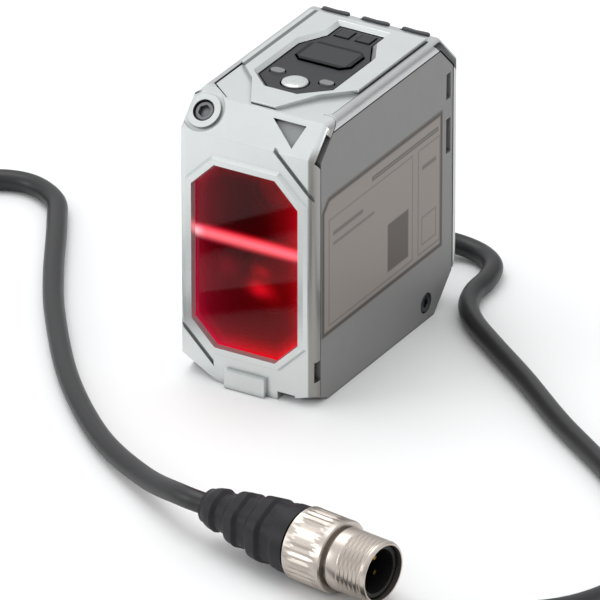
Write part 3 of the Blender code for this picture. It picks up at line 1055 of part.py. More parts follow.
def build_cable():
    points = [Vector(p) * MM for p in CABLE_ROUTE] + [CONNECTOR_START - CONNECTOR_AXIS * GAP]
    route = smooth_route(points, CABLE_STEP)
    curve = bpy.data.curves.new("sensor_cable", "CURVE")
    curve.dimensions = "3D"
    curve.bevel_depth = CABLE_RADIUS
    curve.bevel_resolution = 3
    curve.use_fill_caps = True
    spline = curve.splines.new("POLY")
    spline.points.add(len(route) - 1)
    for point, place in zip(spline.points, route):
        point.co = (*place, 1.0)
    curve.materials.append(cable_jacket)
    cable = bpy.data.objects.new("sensor_cable", curve)
    bpy.context.scene.collection.objects.link(cable)


def build_connector():
    """Round plug: ribbed boot, captive nut that turns, black core and four pins."""
    steps = 24
    profile = [(0.0, 0.0)]
    for i in range(steps + 1):
        t = i / steps
        wave = BOOT_RIB_HEIGHT * math.sin(math.pi * BOOT_RIB_COUNT * t) ** 2
        profile.append((BOOT_LENGTH * t, BOOT_TIP_RADIUS + (BOOT_RADIUS - BOOT_TIP_RADIUS) * t + wave))
    profile.append((BOOT_LENGTH, 0.0))
    lay_along(turned("connector_boot", profile, boot_plastic, 28), CONNECTOR_START, CONNECTOR_AXIS)

    outline = []
    for i in range(NUT_FLUTE_COUNT):
        for part, depth in ((0.0, 0.0), (0.55, 0.0), (0.68, NUT_FLUTE_DEPTH), (0.87, NUT_FLUTE_DEPTH)):
            angle = math.tau * (i + part) / NUT_FLUTE_COUNT
            outline.append(((NUT_RADIUS - depth) * math.cos(angle), (NUT_RADIUS - depth) * math.sin(angle)))
    nut = prism("coupling_nut", outline, 0.0, NUT_HEAD_LENGTH, "X", nickel)
    sleeve = rod("nut_sleeve", NUT_THREAD_RADIUS, NUT_LENGTH - MM, segments=40)
    lip_bore = rod("nut_lip_cutter", CORE_NECK_RADIUS + GAP, 4 * MM, segments=32)
    bore = rod("nut_bore_cutter", NUT_BORE_RADIUS, NUT_LENGTH, segments=40)
    lay_along(nut, NUT_START, CONNECTOR_AXIS)
    lay_along(sleeve, NUT_START + CONNECTOR_AXIS * MM, CONNECTOR_AXIS)
    lay_along(lip_bore, NUT_START - CONNECTOR_AXIS * MM, CONNECTOR_AXIS)
    lay_along(bore, NUT_START + CONNECTOR_AXIS * NUT_LIP_LENGTH, CONNECTOR_AXIS)
    join(nut, sleeve)
    cut(nut, lip_bore, bore)

    outer = NUT_BORE_RADIUS - GAP
    shoulder = NUT_LIP_LENGTH + GAP
    profile = [(0, 0), (0, CORE_NECK_RADIUS), (shoulder, CORE_NECK_RADIUS), (shoulder, outer),
               (CORE_LENGTH, outer), (CORE_LENGTH, outer - CORE_SKIRT),
               (CORE_SOLID_LENGTH, outer - CORE_SKIRT), (CORE_SOLID_LENGTH, 0)]
    core = lay_along(turned("connector_core", profile, black_plastic, 36), NUT_START, CONNECTOR_AXIS)
    side = Vector((0, 0, 1)).cross(CONNECTOR_AXIS)
    for i in range(4):
        angle = math.pi / 4 + i * math.pi / 2
        offset = (side * math.cos(angle) + Vector((0, 0, 1)) * math.sin(angle)) * PIN_CIRCLE_RADIUS
        floor = NUT_START + offset + CONNECTOR_AXIS * (CORE_SOLID_LENGTH - PIN_SOCKET_DEPTH)
        cut(core, lay_along(rod("pin_socket_cutter", PIN_RADIUS + GAP, PIN_SOCKET_DEPTH + MM, segments=12),
                            floor, CONNECTOR_AXIS))
        lay_along(rod("contact_pin_%d" % (i + 1), PIN_RADIUS, PIN_LENGTH, gold_pin, 12),
                  floor + CONNECTOR_AXIS * GAP, CONNECTOR_AXIS)


build_housing()
build_side_cover()
build_bezel()
build_window()
build_holder()
build_main_board()
build_top_cover()
build_panel()
build_gland()
build_cable()
build_connector()
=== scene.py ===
# %% [markdown]
# # Dressing a laser photoelectric sensor
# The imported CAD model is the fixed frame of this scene: a small die-cast housing with a red
# window, a display panel on top, a cable and a round screw-on plug. The frame gives every size
# and place. The cells below add the camera, the light, the finishes, and the finer pieces that
# the frame leaves plain.

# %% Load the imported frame
import math

import bmesh
import bpy
import numpy as np
from mathutils import Matrix, Vector


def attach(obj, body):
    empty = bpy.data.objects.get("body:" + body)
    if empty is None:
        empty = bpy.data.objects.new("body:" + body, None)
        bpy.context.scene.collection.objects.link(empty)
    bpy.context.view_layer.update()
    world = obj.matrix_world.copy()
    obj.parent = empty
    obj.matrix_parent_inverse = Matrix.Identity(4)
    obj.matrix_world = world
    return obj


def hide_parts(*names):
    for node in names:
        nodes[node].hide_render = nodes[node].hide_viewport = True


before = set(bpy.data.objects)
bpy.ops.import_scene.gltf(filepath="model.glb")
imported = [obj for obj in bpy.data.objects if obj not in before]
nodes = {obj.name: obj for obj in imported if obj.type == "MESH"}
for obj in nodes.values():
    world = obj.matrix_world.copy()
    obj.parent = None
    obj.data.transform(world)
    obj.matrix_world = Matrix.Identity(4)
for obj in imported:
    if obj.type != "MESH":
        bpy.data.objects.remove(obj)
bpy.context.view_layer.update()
scene = bpy.context.scene
MM = 0.001

# %% [markdown]
# ## Camera
# The object was photographed from far away with a long lens: its parallel edges stay almost
# parallel. So the camera stands two metres off with a very long lens. Its axes come from the two
# viewing angles, and instead of a lens shift it is moved a little sideways and up.

# %% Camera at the photographed angle
AZIMUTH = math.radians(30.503)
ELEVATION = math.radians(27.347)
CAMERA_DISTANCE = 2190.2 * MM
CAMERA_RIGHT_OFFSET = -3.582 * MM
CAMERA_UP_OFFSET = 7.034 * MM
LENS_MM, SENSOR_MM = 657.06, 36.0

to_right = Vector((math.cos(AZIMUTH), math.sin(AZIMUTH), 0.0))
to_camera = Vector((math.sin(AZIMUTH) * math.cos(ELEVATION),
                    -math.cos(AZIMUTH) * math.cos(ELEVATION), math.sin(ELEVATION)))
to_top = to_camera.cross(to_right)
camera_data = bpy.data.cameras.new("photo_camera")
camera_data.lens = LENS_MM
camera_data.sensor_width = SENSOR_MM
camera = bpy.data.objects.new("photo_camera", camera_data)
camera_place = (to_camera * CAMERA_DISTANCE + to_right * CAMERA_RIGHT_OFFSET
                + to_top * CAMERA_UP_OFFSET)
turn = Matrix((to_right, to_top, to_camera)).transposed().to_4x4()
camera.matrix_world = Matrix.Translation(camera_place) @ turn
scene.collection.objects.link(camera)
scene.camera = camera
scene.view_settings.view_transform = "Standard"
print("camera at", [round(v, 3) for v in camera_place])

# %% [markdown]
# ## The cable's route
# The cable is a thin round pigtail, limp enough to lie flat where it is put. It is one smooth
# curve: straight out of the gland, down to the table, behind the body, round in front and into
# the plug. The line is worked out in numpy, so that its length can be measured: a cubic curve
# through every listed route point, each place a weighted sum of four neighbouring points.

# %% Cable, as one curve through its route points
CABLE_DIAMETER = 4.3 * MM
PLUG_TURN = math.radians(-8.6)
PLUG_AXIS = np.array((math.cos(PLUG_TURN), math.sin(PLUG_TURN), 0.0))
PLUG_START = np.array((25.2, -84.3, 7.5)) * MM
CABLE_IN_PLUG = 0.3 * MM
CABLE_ROUTE = np.array((
    (0.0, 33.2, 5.2), (0.1, 35.6, 5.1), (1.9, 40.2, 4.4), (6.4, 43.7, 3.1),
    (12.4, 43.8, 2.3), (17.2, 40.4, 2.21), (19.2, 34.6, 2.21), (19.7, 28.4, 2.21),
    (21.8, 22.6, 2.21), (26.4, 16.9, 2.21), (35.2, 9.8, 2.21), (47.5, 0.4, 2.21),
    (62.5, -11.9, 2.21), (80.1, -24.7, 2.21), (95.9, -38.7, 2.21), (105.2, -56.4, 2.21),
    (100.2, -75.6, 2.21), (82.2, -90.3, 2.21), (60.7, -103.0, 2.21), (38.6, -117.2, 2.21),
    (22.5, -127.8, 2.21), (6.5, -134.8, 2.21), (-6.5, -129.5, 2.21), (-18.5, -110.0, 2.21),
    (-36.0, -80.5, 2.21), (-55.4, -48.6, 2.21), (-75.8, -19.8, 2.21), (-90.2, -0.9, 2.21),
    (-95.3, 10.6, 2.21), (-91.9, 20.7, 2.21), (-83.4, 24.3, 2.21), (-74.6, 20.6, 2.21),
    (-68.6, 11.9, 2.21), (-57.6, -7.3, 2.21), (-47.4, -23.2, 2.21), (-30.8, -44.9, 2.21),
    (-12.4, -63.0, 2.4), (5.0, -75.2, 4.1), (18.2, -83.0, 7.3),
)) * MM
CABLE_END = PLUG_START - PLUG_AXIS * CABLE_IN_PLUG
STEPS_PER_SPAN = 8


def smooth_route(points, steps):
    """For each span b to c: half of 2b + (c-a)t + (2a-5b+4c-d)t^2 + (3b-a-3c+d)t^3."""
    ends = np.vstack((2 * points[0] - points[1], points, 2 * points[-1] - points[-2]))
    a, b, c, d = (ends[i:len(ends) - 3 + i, None, :] for i in range(4))
    t = np.arange(steps)[None, :, None] / steps
    spans = 0.5 * (2 * b + (c - a) * t + (2 * a - 5 * b + 4 * c - d) * t ** 2
                   + (3 * b - a - 3 * c + d) * t ** 3)
    return np.vstack((spans.reshape(-1, 3), points[-1]))


cable_line = smooth_route(np.vstack((CABLE_ROUTE, CABLE_END)), STEPS_PER_SPAN)

# %% [markdown]
# ## From arrays to pieces
# Most new pieces are grids of points: each row is one ring of the piece and each column one
# place round it. The helpers join neighbours into quads, hand a mesh to the frame, and make a
# closed piece of a grid, whose points at a tip are joined and whose faces all turn outwards.

# %% Helpers from grid to piece
MERGE_DISTANCE = 0.0005 * MM


def grid_quads(rows, columns, close_columns=True, close_rows=False):
    """Corner numbers of the quads between neighbours; a closed direction joins last to first."""
    index = np.arange(rows * columns).reshape(rows, columns)
    if close_columns:
        index = np.concatenate((index, index[:, :1]), 1)
    if close_rows:
        index = np.concatenate((index, index[:1]), 0)
    quads = np.stack((index[:-1, :-1], index[:-1, 1:], index[1:, 1:], index[1:, :-1]), -1)
    return quads.reshape(-1, 4).tolist()


def add_piece(name, mesh, material=None, body="sensor", replaces=None):
    """Put a mesh into the scene as a piece that rides on a body and belongs to a slot."""
    if material:
        mesh.materials.append(material)
    piece = bpy.data.objects.new(name, mesh)
    scene.collection.objects.link(piece)
    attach(piece, body)
    if replaces:
        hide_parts(replaces)
    print(name, len(mesh.vertices), "points")
    return piece


def grid_piece(name, points, material=None, body="sensor", replaces=None,
               close_rows=False, attributes=None, sharp_angle=35):
    """A closed piece of a (rows, columns, 3) array, with values stored on its points."""
    mesh = bpy.data.meshes.new(name)
    quads = grid_quads(*points.shape[:2], close_rows=close_rows)
    mesh.from_pydata(points.reshape(-1, 3), [], quads)
    for key, values in (attributes or {}).items():
        mesh.attributes.new(key, "FLOAT", "POINT").data.foreach_set("value", values.ravel())
    data = bmesh.new()
    data.from_mesh(mesh)
    bmesh.ops.remove_doubles(data, verts=data.verts, dist=MERGE_DISTANCE)
    bmesh.ops.recalc_face_normals(data, faces=data.faces)
    data.to_mesh(mesh)
    data.free()
    mesh.shade_smooth()
    mesh.set_sharp_from_angle(angle=math.radians(sharp_angle))
    return add_piece(name, mesh, material, body, replaces)


print("3 rings of 4 points have", len(grid_quads(3, 4)), "quads")

# %% [markdown]
# ## The cable's surface
# The jacket is a plain round tube. A bevelled curve would do, but a grid keeps its ends closed:
# a circle stands square to the line at every point, and each end is drawn to its middle.

# %% A circle carried along the cable's line
CABLE_COLUMNS = 28


def tube_points(line, radius, columns):
    """Point = line + (side * cos + up * sin) * radius; side is level, up is square to the run."""
    run = np.gradient(line, axis=0)
    run /= np.linalg.norm(run, axis=1, keepdims=True)
    side = np.cross(run, (0.0, 0.0, 1.0))
    side /= np.linalg.norm(side, axis=1, keepdims=True)
    up = np.cross(side, run)
    angle = np.linspace(0, 2 * math.pi, columns, endpoint=False)[None, :, None]
    rings = line[:, None] + radius * (np.cos(angle) * side[:, None] + np.sin(angle) * up[:, None])
    ends = np.broadcast_to(line[[0, -1], None], (2, columns, 3))
    return np.concatenate((ends[:1], rings, ends[1:]))


cable = grid_piece("pur_cable", tube_points(cable_line, CABLE_DIAMETER / 2, CABLE_COLUMNS),
                   replaces="sensor_cable")

# %% [markdown]
# ## Colours and nodes
# Colours are written as the sRGB hex codes of a colour picker, but Blender mixes light in
# linear values, so one function turns one into the other. A second one adds a shader node and
# fills its inputs. The sockets of a Mix node share their names, so they go by number.

# %% Colour and node helpers
VALUE_A, VALUE_B, VALUE_OUT = 2, 3, 0
COLOUR_A, COLOUR_B, COLOUR_OUT = 6, 7, 2


def linear(code):
    """c / 12.92 for a dark sRGB value c, else (c + 0.055) / 1.055 to the power 2.4."""
    values = np.array([int(code[i:i + 2], 16) for i in (0, 2, 4)]) / 255
    mapped = np.where(values <= 0.04045, values / 12.92, ((values + 0.055) / 1.055) ** 2.4)
    return (*mapped.tolist(), 1.0)


def add_node(tree, kind, sockets=None, **settings):
    """Add a node, set its settings, then fill each named or numbered input by value or link."""
    node = tree.nodes.new(kind)
    for key, value in settings.items():
        setattr(node, key, value)
    for key, value in (sockets or {}).items():
        if isinstance(value, bpy.types.NodeSocket):
            tree.links.new(value, node.inputs[key])
        else:
            node.inputs[key].default_value = value
    return node


print("a middle grey is", round(linear("808080")[0], 3), "in linear light")

# %% [markdown]
# ## Table and light
# The sensor stands on a plain white table under soft studio light. Metal shows mostly what
# it reflects, so the surroundings matter more than the lamps: a pale world gives the silver
# its tone, bright from the left and above and dim from the right, where the side is a middle
# grey. Three area lamps add broad highlights and lift the lower right side a little.

# %% Table
HALF_TABLE = 8.0
table_mesh = bpy.data.meshes.new("white_table")
table_corners = np.array(((-1, -1, 0), (1, -1, 0), (1, 1, 0), (-1, 1, 0))) * HALF_TABLE
table_mesh.from_pydata(table_corners, [], [(0, 1, 2, 3)])
table = bpy.data.objects.new("white_table", table_mesh)
scene.collection.objects.link(table)
print("table", 2 * HALF_TABLE, "m wide")

# %% World that is bright on the left and above
DIM_SIDE = math.radians(100)
BRIGHT_LEVEL, DIM_LEVEL = 0.95, 0.26
world = bpy.data.worlds.new("pale_studio")
world.use_nodes = True
sky = world.node_tree
sky.nodes.clear()
direction = add_node(sky, "ShaderNodeTexCoord").outputs["Generated"]
height = add_node(sky, "ShaderNodeSeparateXYZ", {0: direction}).outputs["Z"]
rightward = add_node(sky, "ShaderNodeVectorMath",
                     {0: direction, 1: (math.sin(DIM_SIDE), -math.cos(DIM_SIDE), 0.0)},
                     operation="DOT_PRODUCT").outputs["Value"]
level = add_node(sky, "ShaderNodeMapRange",
                 {"Value": rightward, "From Min": -0.55, "From Max": 0.75,
                  "To Min": BRIGHT_LEVEL, "To Max": DIM_LEVEL},
                 interpolation_type="SMOOTHSTEP").outputs["Result"]
overhead = add_node(sky, "ShaderNodeMapRange",
                    {"Value": height, "From Min": 0.15, "From Max": 0.8},
                    interpolation_type="SMOOTHSTEP").outputs["Result"]
strength = add_node(sky, "ShaderNodeMix",
                    {"Factor": overhead, VALUE_A: level, VALUE_B: 1.0}).outputs[VALUE_OUT]
glow = add_node(sky, "ShaderNodeBackground", {"Color": linear("FBFCFD"), "Strength": strength})
add_node(sky, "ShaderNodeOutputWorld", {"Surface": glow.outputs[0]})
scene.world = world
print("world level", BRIGHT_LEVEL, "on the left,", DIM_LEVEL, "on the right")

# %% Area lamps
LAMP_AIM = Vector((0.0, 0.0, 0.03))
# Name, place in m, width in m and power in W of each lamp.
LAMPS = (("front_left_softbox", (-0.85, -0.8, 0.38), 0.5, 2.4),
         ("top_softbox", (-0.3, 0.1, 1.0), 0.7, 3.4),
         ("right_low_fill", (0.7, 0.2, 0.08), 0.5, 1.5))
for name, lamp_place, width, power in LAMPS:
    lamp_data = bpy.data.lights.new(name, "AREA")
    lamp_data.shape = "SQUARE"
    lamp_data.size = width
    lamp_data.energy = power
    lamp = bpy.data.objects.new(name, lamp_data)
    lamp.location = lamp_place
    lamp.rotation_euler = (LAMP_AIM - Vector(lamp_place)).to_track_quat("-Z", "Y").to_euler()
    scene.collection.objects.link(lamp)
print(len(LAMPS), "lamps")

# %% [markdown]
# ## Finishes
# Every finish starts from the same idea: the real surface is never one colour. A fine noise,
# its size given in millimetres, and a broad cloud fourteen times as large shift the colour and
# the gloss a little and tip the surface normal. What differs between a casting, a plastic and a
# jacket is how coarse and how strong that is. Grooves and corners lose light, so a finish may
# paint shade into them, darker the less of its surroundings a place sees.

# %% One finish builder
CLOUD_SIZE, CLOUD_SHARE = 14.0, 0.4
BUMP_STRENGTH = 0.6
CLOSED_CORNER, OPEN_FACE, CORNER_LEVEL = 0.1, 0.85, 0.25
PAINTED_SHADE_COLOUR = (0.02, 0.02, 0.02, 1.0)


def finish(name, code, roughness, metallic=0.0, grain=0.5, tone=0.06, gloss=0.05, bump=0.02,
           painted_shade_mm=0.0, **sockets):
    """Colour = code * (1 - tone .. 1 + tone) and roughness -+ gloss, as the noise goes 0 to 1.

    The noise has a grain in mm and a height of bump in mm. Where the shade reach is above zero,
    shade is painted into corners and grooves up to that many mm wide.
    """
    material = bpy.data.materials.new(name)
    material.use_nodes = True
    tree = material.node_tree
    shader = tree.nodes["Principled BSDF"]
    shader.inputs["Metallic"].default_value = metallic
    for key, value in sockets.items():
        shader.inputs[key.replace("_", " ")].default_value = value
    place = add_node(tree, "ShaderNodeTexCoord").outputs["Object"]
    fine = add_node(tree, "ShaderNodeTexNoise",
                    {"Vector": place, "Scale": 1 / (grain * MM), "Detail": 3.0,
                     "Roughness": 0.55}).outputs["Fac"]
    cloud = add_node(tree, "ShaderNodeTexNoise",
                     {"Vector": place, "Scale": 1 / (CLOUD_SIZE * grain * MM),
                      "Detail": 2.0}).outputs["Fac"]
    noise = add_node(tree, "ShaderNodeMix", {"Factor": CLOUD_SHARE, VALUE_A: fine,
                                             VALUE_B: cloud}).outputs[VALUE_OUT]
    base = linear(code)
    dark = (*(c * (1 - tone) for c in base[:3]), 1.0)
    light = (*(min(1.0, c * (1 + tone)) for c in base[:3]), 1.0)
    colour = add_node(tree, "ShaderNodeMix", {"Factor": noise, COLOUR_A: dark, COLOUR_B: light},
                      data_type="RGBA").outputs[COLOUR_OUT]
    # Painted shade: corners and grooves are darkened by ambient occlusion.
    if painted_shade_mm:
        seen = add_node(tree, "ShaderNodeAmbientOcclusion", {"Distance": painted_shade_mm * MM},
                        samples=16).outputs["AO"]
        shade = add_node(tree, "ShaderNodeMapRange",
                         {"Value": seen, "From Min": CLOSED_CORNER, "From Max": OPEN_FACE,
                          "To Min": CORNER_LEVEL, "To Max": 1.0}).outputs["Result"]
        colour = add_node(tree, "ShaderNodeMix",
                          {"Factor": shade, COLOUR_A: PAINTED_SHADE_COLOUR, COLOUR_B: colour},
                          data_type="RGBA").outputs[COLOUR_OUT]
    rough = add_node(tree, "ShaderNodeMapRange",
                     {"Value": noise, "To Min": roughness - gloss,
                      "To Max": roughness + gloss}).outputs["Result"]
    tipped = add_node(tree, "ShaderNodeBump", {"Height": noise, "Strength": BUMP_STRENGTH,
                                               "Distance": bump * MM}).outputs["Normal"]
    for key, value in (("Base Color", colour), ("Roughness", rough), ("Normal", tipped)):
        tree.links.new(value, shader.inputs[key])
    return material


print("cloud", CLOUD_SIZE, "times the grain")

# %% [markdown]
# ## Metals
# Three kinds of metal show: the zinc castings of the body, bright where they were polished
# before plating, the steel side cover, and the plated brass of the nut. All are silver, so it
# is their roughness and grain that tell them apart.

# %% Metal finishes
# Zinc casting, blasted and nickel plated: pale, satin, with the faint pebble of the blasting.
plated_casting = finish("satin_nickel_plated_zinc", "BFC1C1", 0.38, metallic=0.9, grain=0.3,
                        tone=0.08, gloss=0.07, bump=0.006, painted_shade_mm=1.6)
# The same casting polished before plating, on the front plate and top frame: brighter, smoother.
polished_casting = finish("bright_nickel_plated_zinc", "D6DAD9", 0.3, metallic=0.9, grain=0.35,
                          gloss=0.06, bump=0.005, painted_shade_mm=1.8)
# Side cover in bead-blasted stainless: an even middle grey that barely mirrors anything.
blasted_steel = finish("bead_blasted_stainless", "7F7F7E", 0.58, metallic=0.25, grain=0.35,
                       tone=0.12, gloss=0.06, painted_shade_mm=1.2)
# Screws in black-oxide steel: dark, a little oily.
screw_oxide = finish("oxide_blacked_steel", "4A4B4F", 0.36, metallic=1.0, grain=0.4, tone=0.1,
                     gloss=0.08, bump=0.01, painted_shade_mm=1.0)
# Stainless screw in the ear: bright, lightly brushed by its driver.
bright_screw = finish("stainless_socket_screw", "7C7D7F", 0.34, metallic=1.0, grain=0.4,
                      gloss=0.06, bump=0.006, painted_shade_mm=1.2)
# Nickel-plated brass of the coupling nut: warm and bright.
nickel_brass = finish("nickel_plated_brass", "C6BDB4", 0.34, metallic=1.0, grain=0.6, tone=0.05,
                      bump=0.004, painted_shade_mm=1.2)
# Turned brass: yellow, with the fine sheen of the lathe.
turned_brass = finish("turned_brass", "B08D4A", 0.3, metallic=1.0, grain=0.4, bump=0.005)
# Hard gold on the contact pins: warm and almost a mirror.
gold_plate = finish("gold_plated_contact", "CBA552", 0.22, metallic=1.0, grain=0.4, tone=0.05,
                    bump=0.003)
print("metals:", len(bpy.data.materials), "materials so far")

# %% [markdown]
# ## Zones on a piece
# Some places on a casting have another finish, such as a blasted recess in a polished plate.
# They could be faces with a material of their own, but such a zone follows no edge of the mesh.
# So it is worked out from the place on the piece: along a direction a share climbs smoothly
# from 0 to 1, and the shares of several directions are multiplied.

# %% Helpers for zones
X_AXIS, Y_AXIS, Z_AXIS = (1.0, 0.0, 0.0), (0.0, 1.0, 0.0), (0.0, 0.0, 1.0)


def zone(tree, *ranges, low=0.0, high=1.0):
    """Low + (high - low) * the product of a smooth step for each range.

    A range is a direction and the two distances along it, in mm, where its step goes 0 to 1.
    """
    place = add_node(tree, "ShaderNodeTexCoord").outputs["Object"]
    share = 1.0
    for direction, start, end in ranges:
        distance = add_node(tree, "ShaderNodeVectorMath", {0: place, 1: direction},
                            operation="DOT_PRODUCT").outputs["Value"]
        step = add_node(tree, "ShaderNodeMapRange",
                        {"Value": distance, "From Min": start * MM, "From Max": end * MM},
                        interpolation_type="SMOOTHSTEP").outputs["Result"]
        share = add_node(tree, "ShaderNodeMath", {0: share, 1: step},
                         operation="MULTIPLY").outputs[0]
    return add_node(tree, "ShaderNodeMath", {0: share, 1: high - low, 2: low},
                    operation="MULTIPLY_ADD").outputs[0]


def tint(material, share, code):
    """Base colour = what it was * (1 - share) + another colour * share."""
    tree = material.node_tree
    base = tree.nodes["Principled BSDF"].inputs["Base Color"]
    mixed = add_node(tree, "ShaderNodeMix",
                     {"Factor": share, COLOUR_A: base.links[0].from_socket,
                      COLOUR_B: linear(code)}, data_type="RGBA").outputs[COLOUR_OUT]
    tree.links.new(mixed, base)


def variant(material, name):
    """A copy of a finish under a new name, and the copy's nodes."""
    marked = material.copy()
    marked.name = name
    return marked, marked.node_tree


# %% [markdown]
# ## Painted shade on the castings
# The front plate has painted shade on the floor of its sunk triangle, on a strip beside the
# window and on the flank round the corner, and a rough chamfer over it that doesn't mirror the
# lamp above. The housing has a painted dark line of shade along its oblique rear corner, in place
# of a groove, and the top frame one along its left edge.
# Distances square to a 45 degree face are (y - z) or (y + z) times the root of a half.

# %% Painted shade on the front plate
SLOPE = math.sqrt(0.5)
UNDER_SLOPE, SLOPE_PLACE = (0.0, SLOPE, -SLOPE), -(29.1 + 53.4) * SLOPE
# Grey of the painted shade on the strip beside the window and the flank; roughness of the chamfer.
PAINTED_SHADE_GREY, ROUGH_CHAMFER = "949390", 0.6
bezel_casting, tree = variant(polished_casting, "plated_zinc_with_painted_shade")
# Painted shade on the floor of the triangle, the strip beside the window and the flank; then the
# rough chamfer.
tint(bezel_casting, zone(tree, (UNDER_SLOPE, SLOPE_PLACE + 0.5, SLOPE_PLACE + 0.9),
                         (Z_AXIS, 54.6, 54.9), (Z_AXIS, 59.3, 59.0), (X_AXIS, 2.8, 3.2),
                         high=0.6), "303030")
tint(bezel_casting, zone(tree, (X_AXIS, 13.9, 14.3), (Z_AXIS, 57.0, 54.5)), PAINTED_SHADE_GREY)
tint(bezel_casting, zone(tree, (X_AXIS, 15.3, 15.45)), PAINTED_SHADE_GREY)
chamfer = zone(tree, (Z_AXIS, 49.75, 49.9), (Z_AXIS, 51.3, 51.1), (Y_AXIS, -27.9, -28.0))
rough_input = tree.nodes["Principled BSDF"].inputs["Roughness"]
rough_there = add_node(tree, "ShaderNodeMix",
                       {"Factor": chamfer, VALUE_A: rough_input.links[0].from_socket,
                        VALUE_B: ROUGH_CHAMFER}).outputs[VALUE_OUT]
tree.links.new(rough_there, rough_input)
print(bezel_casting.name)

# %% Painted groove shade on the housing and the top frame
OFF_CORNER = (0.0, SLOPE, SLOPE)
housing_casting, tree = variant(plated_casting, "plated_zinc_with_painted_corner_shade")
# Painted shade: a dark line along the oblique rear corner, in place of a groove's shade.
tint(housing_casting, zone(tree, (OFF_CORNER, 55.9, 56.1), (OFF_CORNER, 57.8, 57.6),
                           (X_AXIS, 14.9, 15.1), high=0.9), "161617")
frame_casting, tree = variant(polished_casting, "plated_zinc_with_painted_edge_shade")
# Painted shade: a dark line along the top frame's left edge, in place of a groove's shade.
tint(frame_casting, zone(tree, (X_AXIS, -12.5, -12.3), (X_AXIS, -11.4, -11.6),
                         (Z_AXIS, 60.7, 60.9), high=0.75), "303030")
print(housing_casting.name, frame_casting.name)

# %% [markdown]
# ## Plastics, rubber and glass
# The panel, keys, seals, cable and boot are moulded, and their colour lies in the material.
# What tells them apart is the gloss that the mould left: a covered display is glossy, a key
# satin and a seal dull. Where a dark part must stay dark beside the white table, its specular
# level is taken down.

# %% Panel and keys
# Display panel in dark polycarbonate: charcoal, satin.
dark_panel = finish("satin_dark_polycarbonate", "313133", 0.5, grain=0.4, tone=0.12, gloss=0.06,
                    bump=0.008, painted_shade_mm=1.0, Specular_IOR_Level=0.3)
# Display and lamp covers: smoked acrylic, glossy, nearly opaque when unlit.
smoked_acrylic = finish("smoked_acrylic", "333436", 0.16, grain=1.5, gloss=0.03, bump=0.001,
                        Specular_IOR_Level=0.15)
# The display's cover is printed black outside its clear field, as such covers are.
display_cover, tree = variant(smoked_acrylic, "smoked_acrylic_with_black_border")
tint(display_cover, zone(tree, (X_AXIS, -5.45, -5.2), (X_AXIS, 5.45, 5.2), (Y_AXIS, 1.2, 1.45),
                         (Y_AXIS, 8.0, 7.75), low=1.0, high=0.0), "020202")
# Set button: silver lacquer over plastic.
silver_lacquer = finish("silver_lacquered_button", "D2D4D3", 0.22, metallic=0.85, tone=0.05,
                        gloss=0.04, bump=0.004)
# Small keys: through-dyed grey, satin from the mould.
grey_key = finish("grey_moulded_key", "77797A", 0.4, grain=0.3, bump=0.008)
print("panel finishes ready")

# %% Seals, boards, cable and table
# Glass-filled nylon of the plug core: matt black with a fine spark erosion.
black_nylon = finish("matt_black_nylon", "141416", 0.5, grain=0.3, tone=0.2, gloss=0.08,
                     bump=0.015)
# Nitrile seals: dull black.
nitrile = finish("nitrile_seal", "222226", 0.78, grain=0.4, tone=0.12, gloss=0.06, bump=0.01)
# Plugs of the rear slots: the same rubber, filled grey. Their dark grey is painted shade,
# standing in for the shade inside the slots.
slot_shade_rubber = finish("grey_rubber_painted_slot_shade", "48494B", 0.7, grain=0.4, tone=0.12, gloss=0.06,
                     bump=0.01, painted_shade_mm=1.0)
# Boards: woven glass under green lacquer, half glossy.
circuit_board = finish("green_solder_mask", "1F4A33", 0.42, tone=0.12, gloss=0.06, bump=0.006)
# Chips: moulded epoxy, near black and matt.
chip_epoxy = finish("chip_epoxy", "1A1A1C", 0.45, grain=0.3, tone=0.15, gloss=0.06, bump=0.006)
# Polyurethane cable jacket: black, satin, with faint extrusion ripple.
pur_jacket = finish("polyurethane_jacket", "1C1C1E", 0.42, grain=0.9, tone=0.12, gloss=0.07,
                    bump=0.01)
# Moulded polyurethane boot: dark slate, slightly softer sheen than the jacket.
pur_boot = finish("moulded_polyurethane_boot", "16151A", 0.5, tone=0.14, gloss=0.07,
                  painted_shade_mm=1.5, Specular_IOR_Level=0.35)
# Lens glass with a coating: clear, with the sharp small highlights of a polished dome.
lens_glass = finish("coated_lens_glass", "D8E4EA", 0.04, grain=2.0, tone=0.02, gloss=0.01,
                    bump=0.0005, Transmission_Weight=0.7)
# Table: matt white laminate.
table_mesh.materials.append(finish("matt_white_laminate", "F6F6F6", 0.8, grain=40.0, tone=0.01,
                                   gloss=0.02, bump=0.001))
cable.data.materials.append(pur_jacket)
print(len(bpy.data.materials), "materials so far")

# %% [markdown]
# ## Red light behind the window
# Behind the pane sits a black optics block, and the laser's stray light makes its walls glow
# deep red. A hidden lamp would be noisy and would leak, so this light is painted into the
# block's own material as a glow: strongest at the front edge of the chambers, towards their
# walls and floor, and fading with depth.

# %% Glowing optics block
HOLDER_FRONT, CHAMBER_FLOOR = -24.3, -16.5
glowing_block = finish("laser_lit_black_abs", "141416", 0.5, grain=0.3, tone=0.2, gloss=0.08,
                       bump=0.015)
tree = glowing_block.node_tree
shader = tree.nodes["Principled BSDF"]
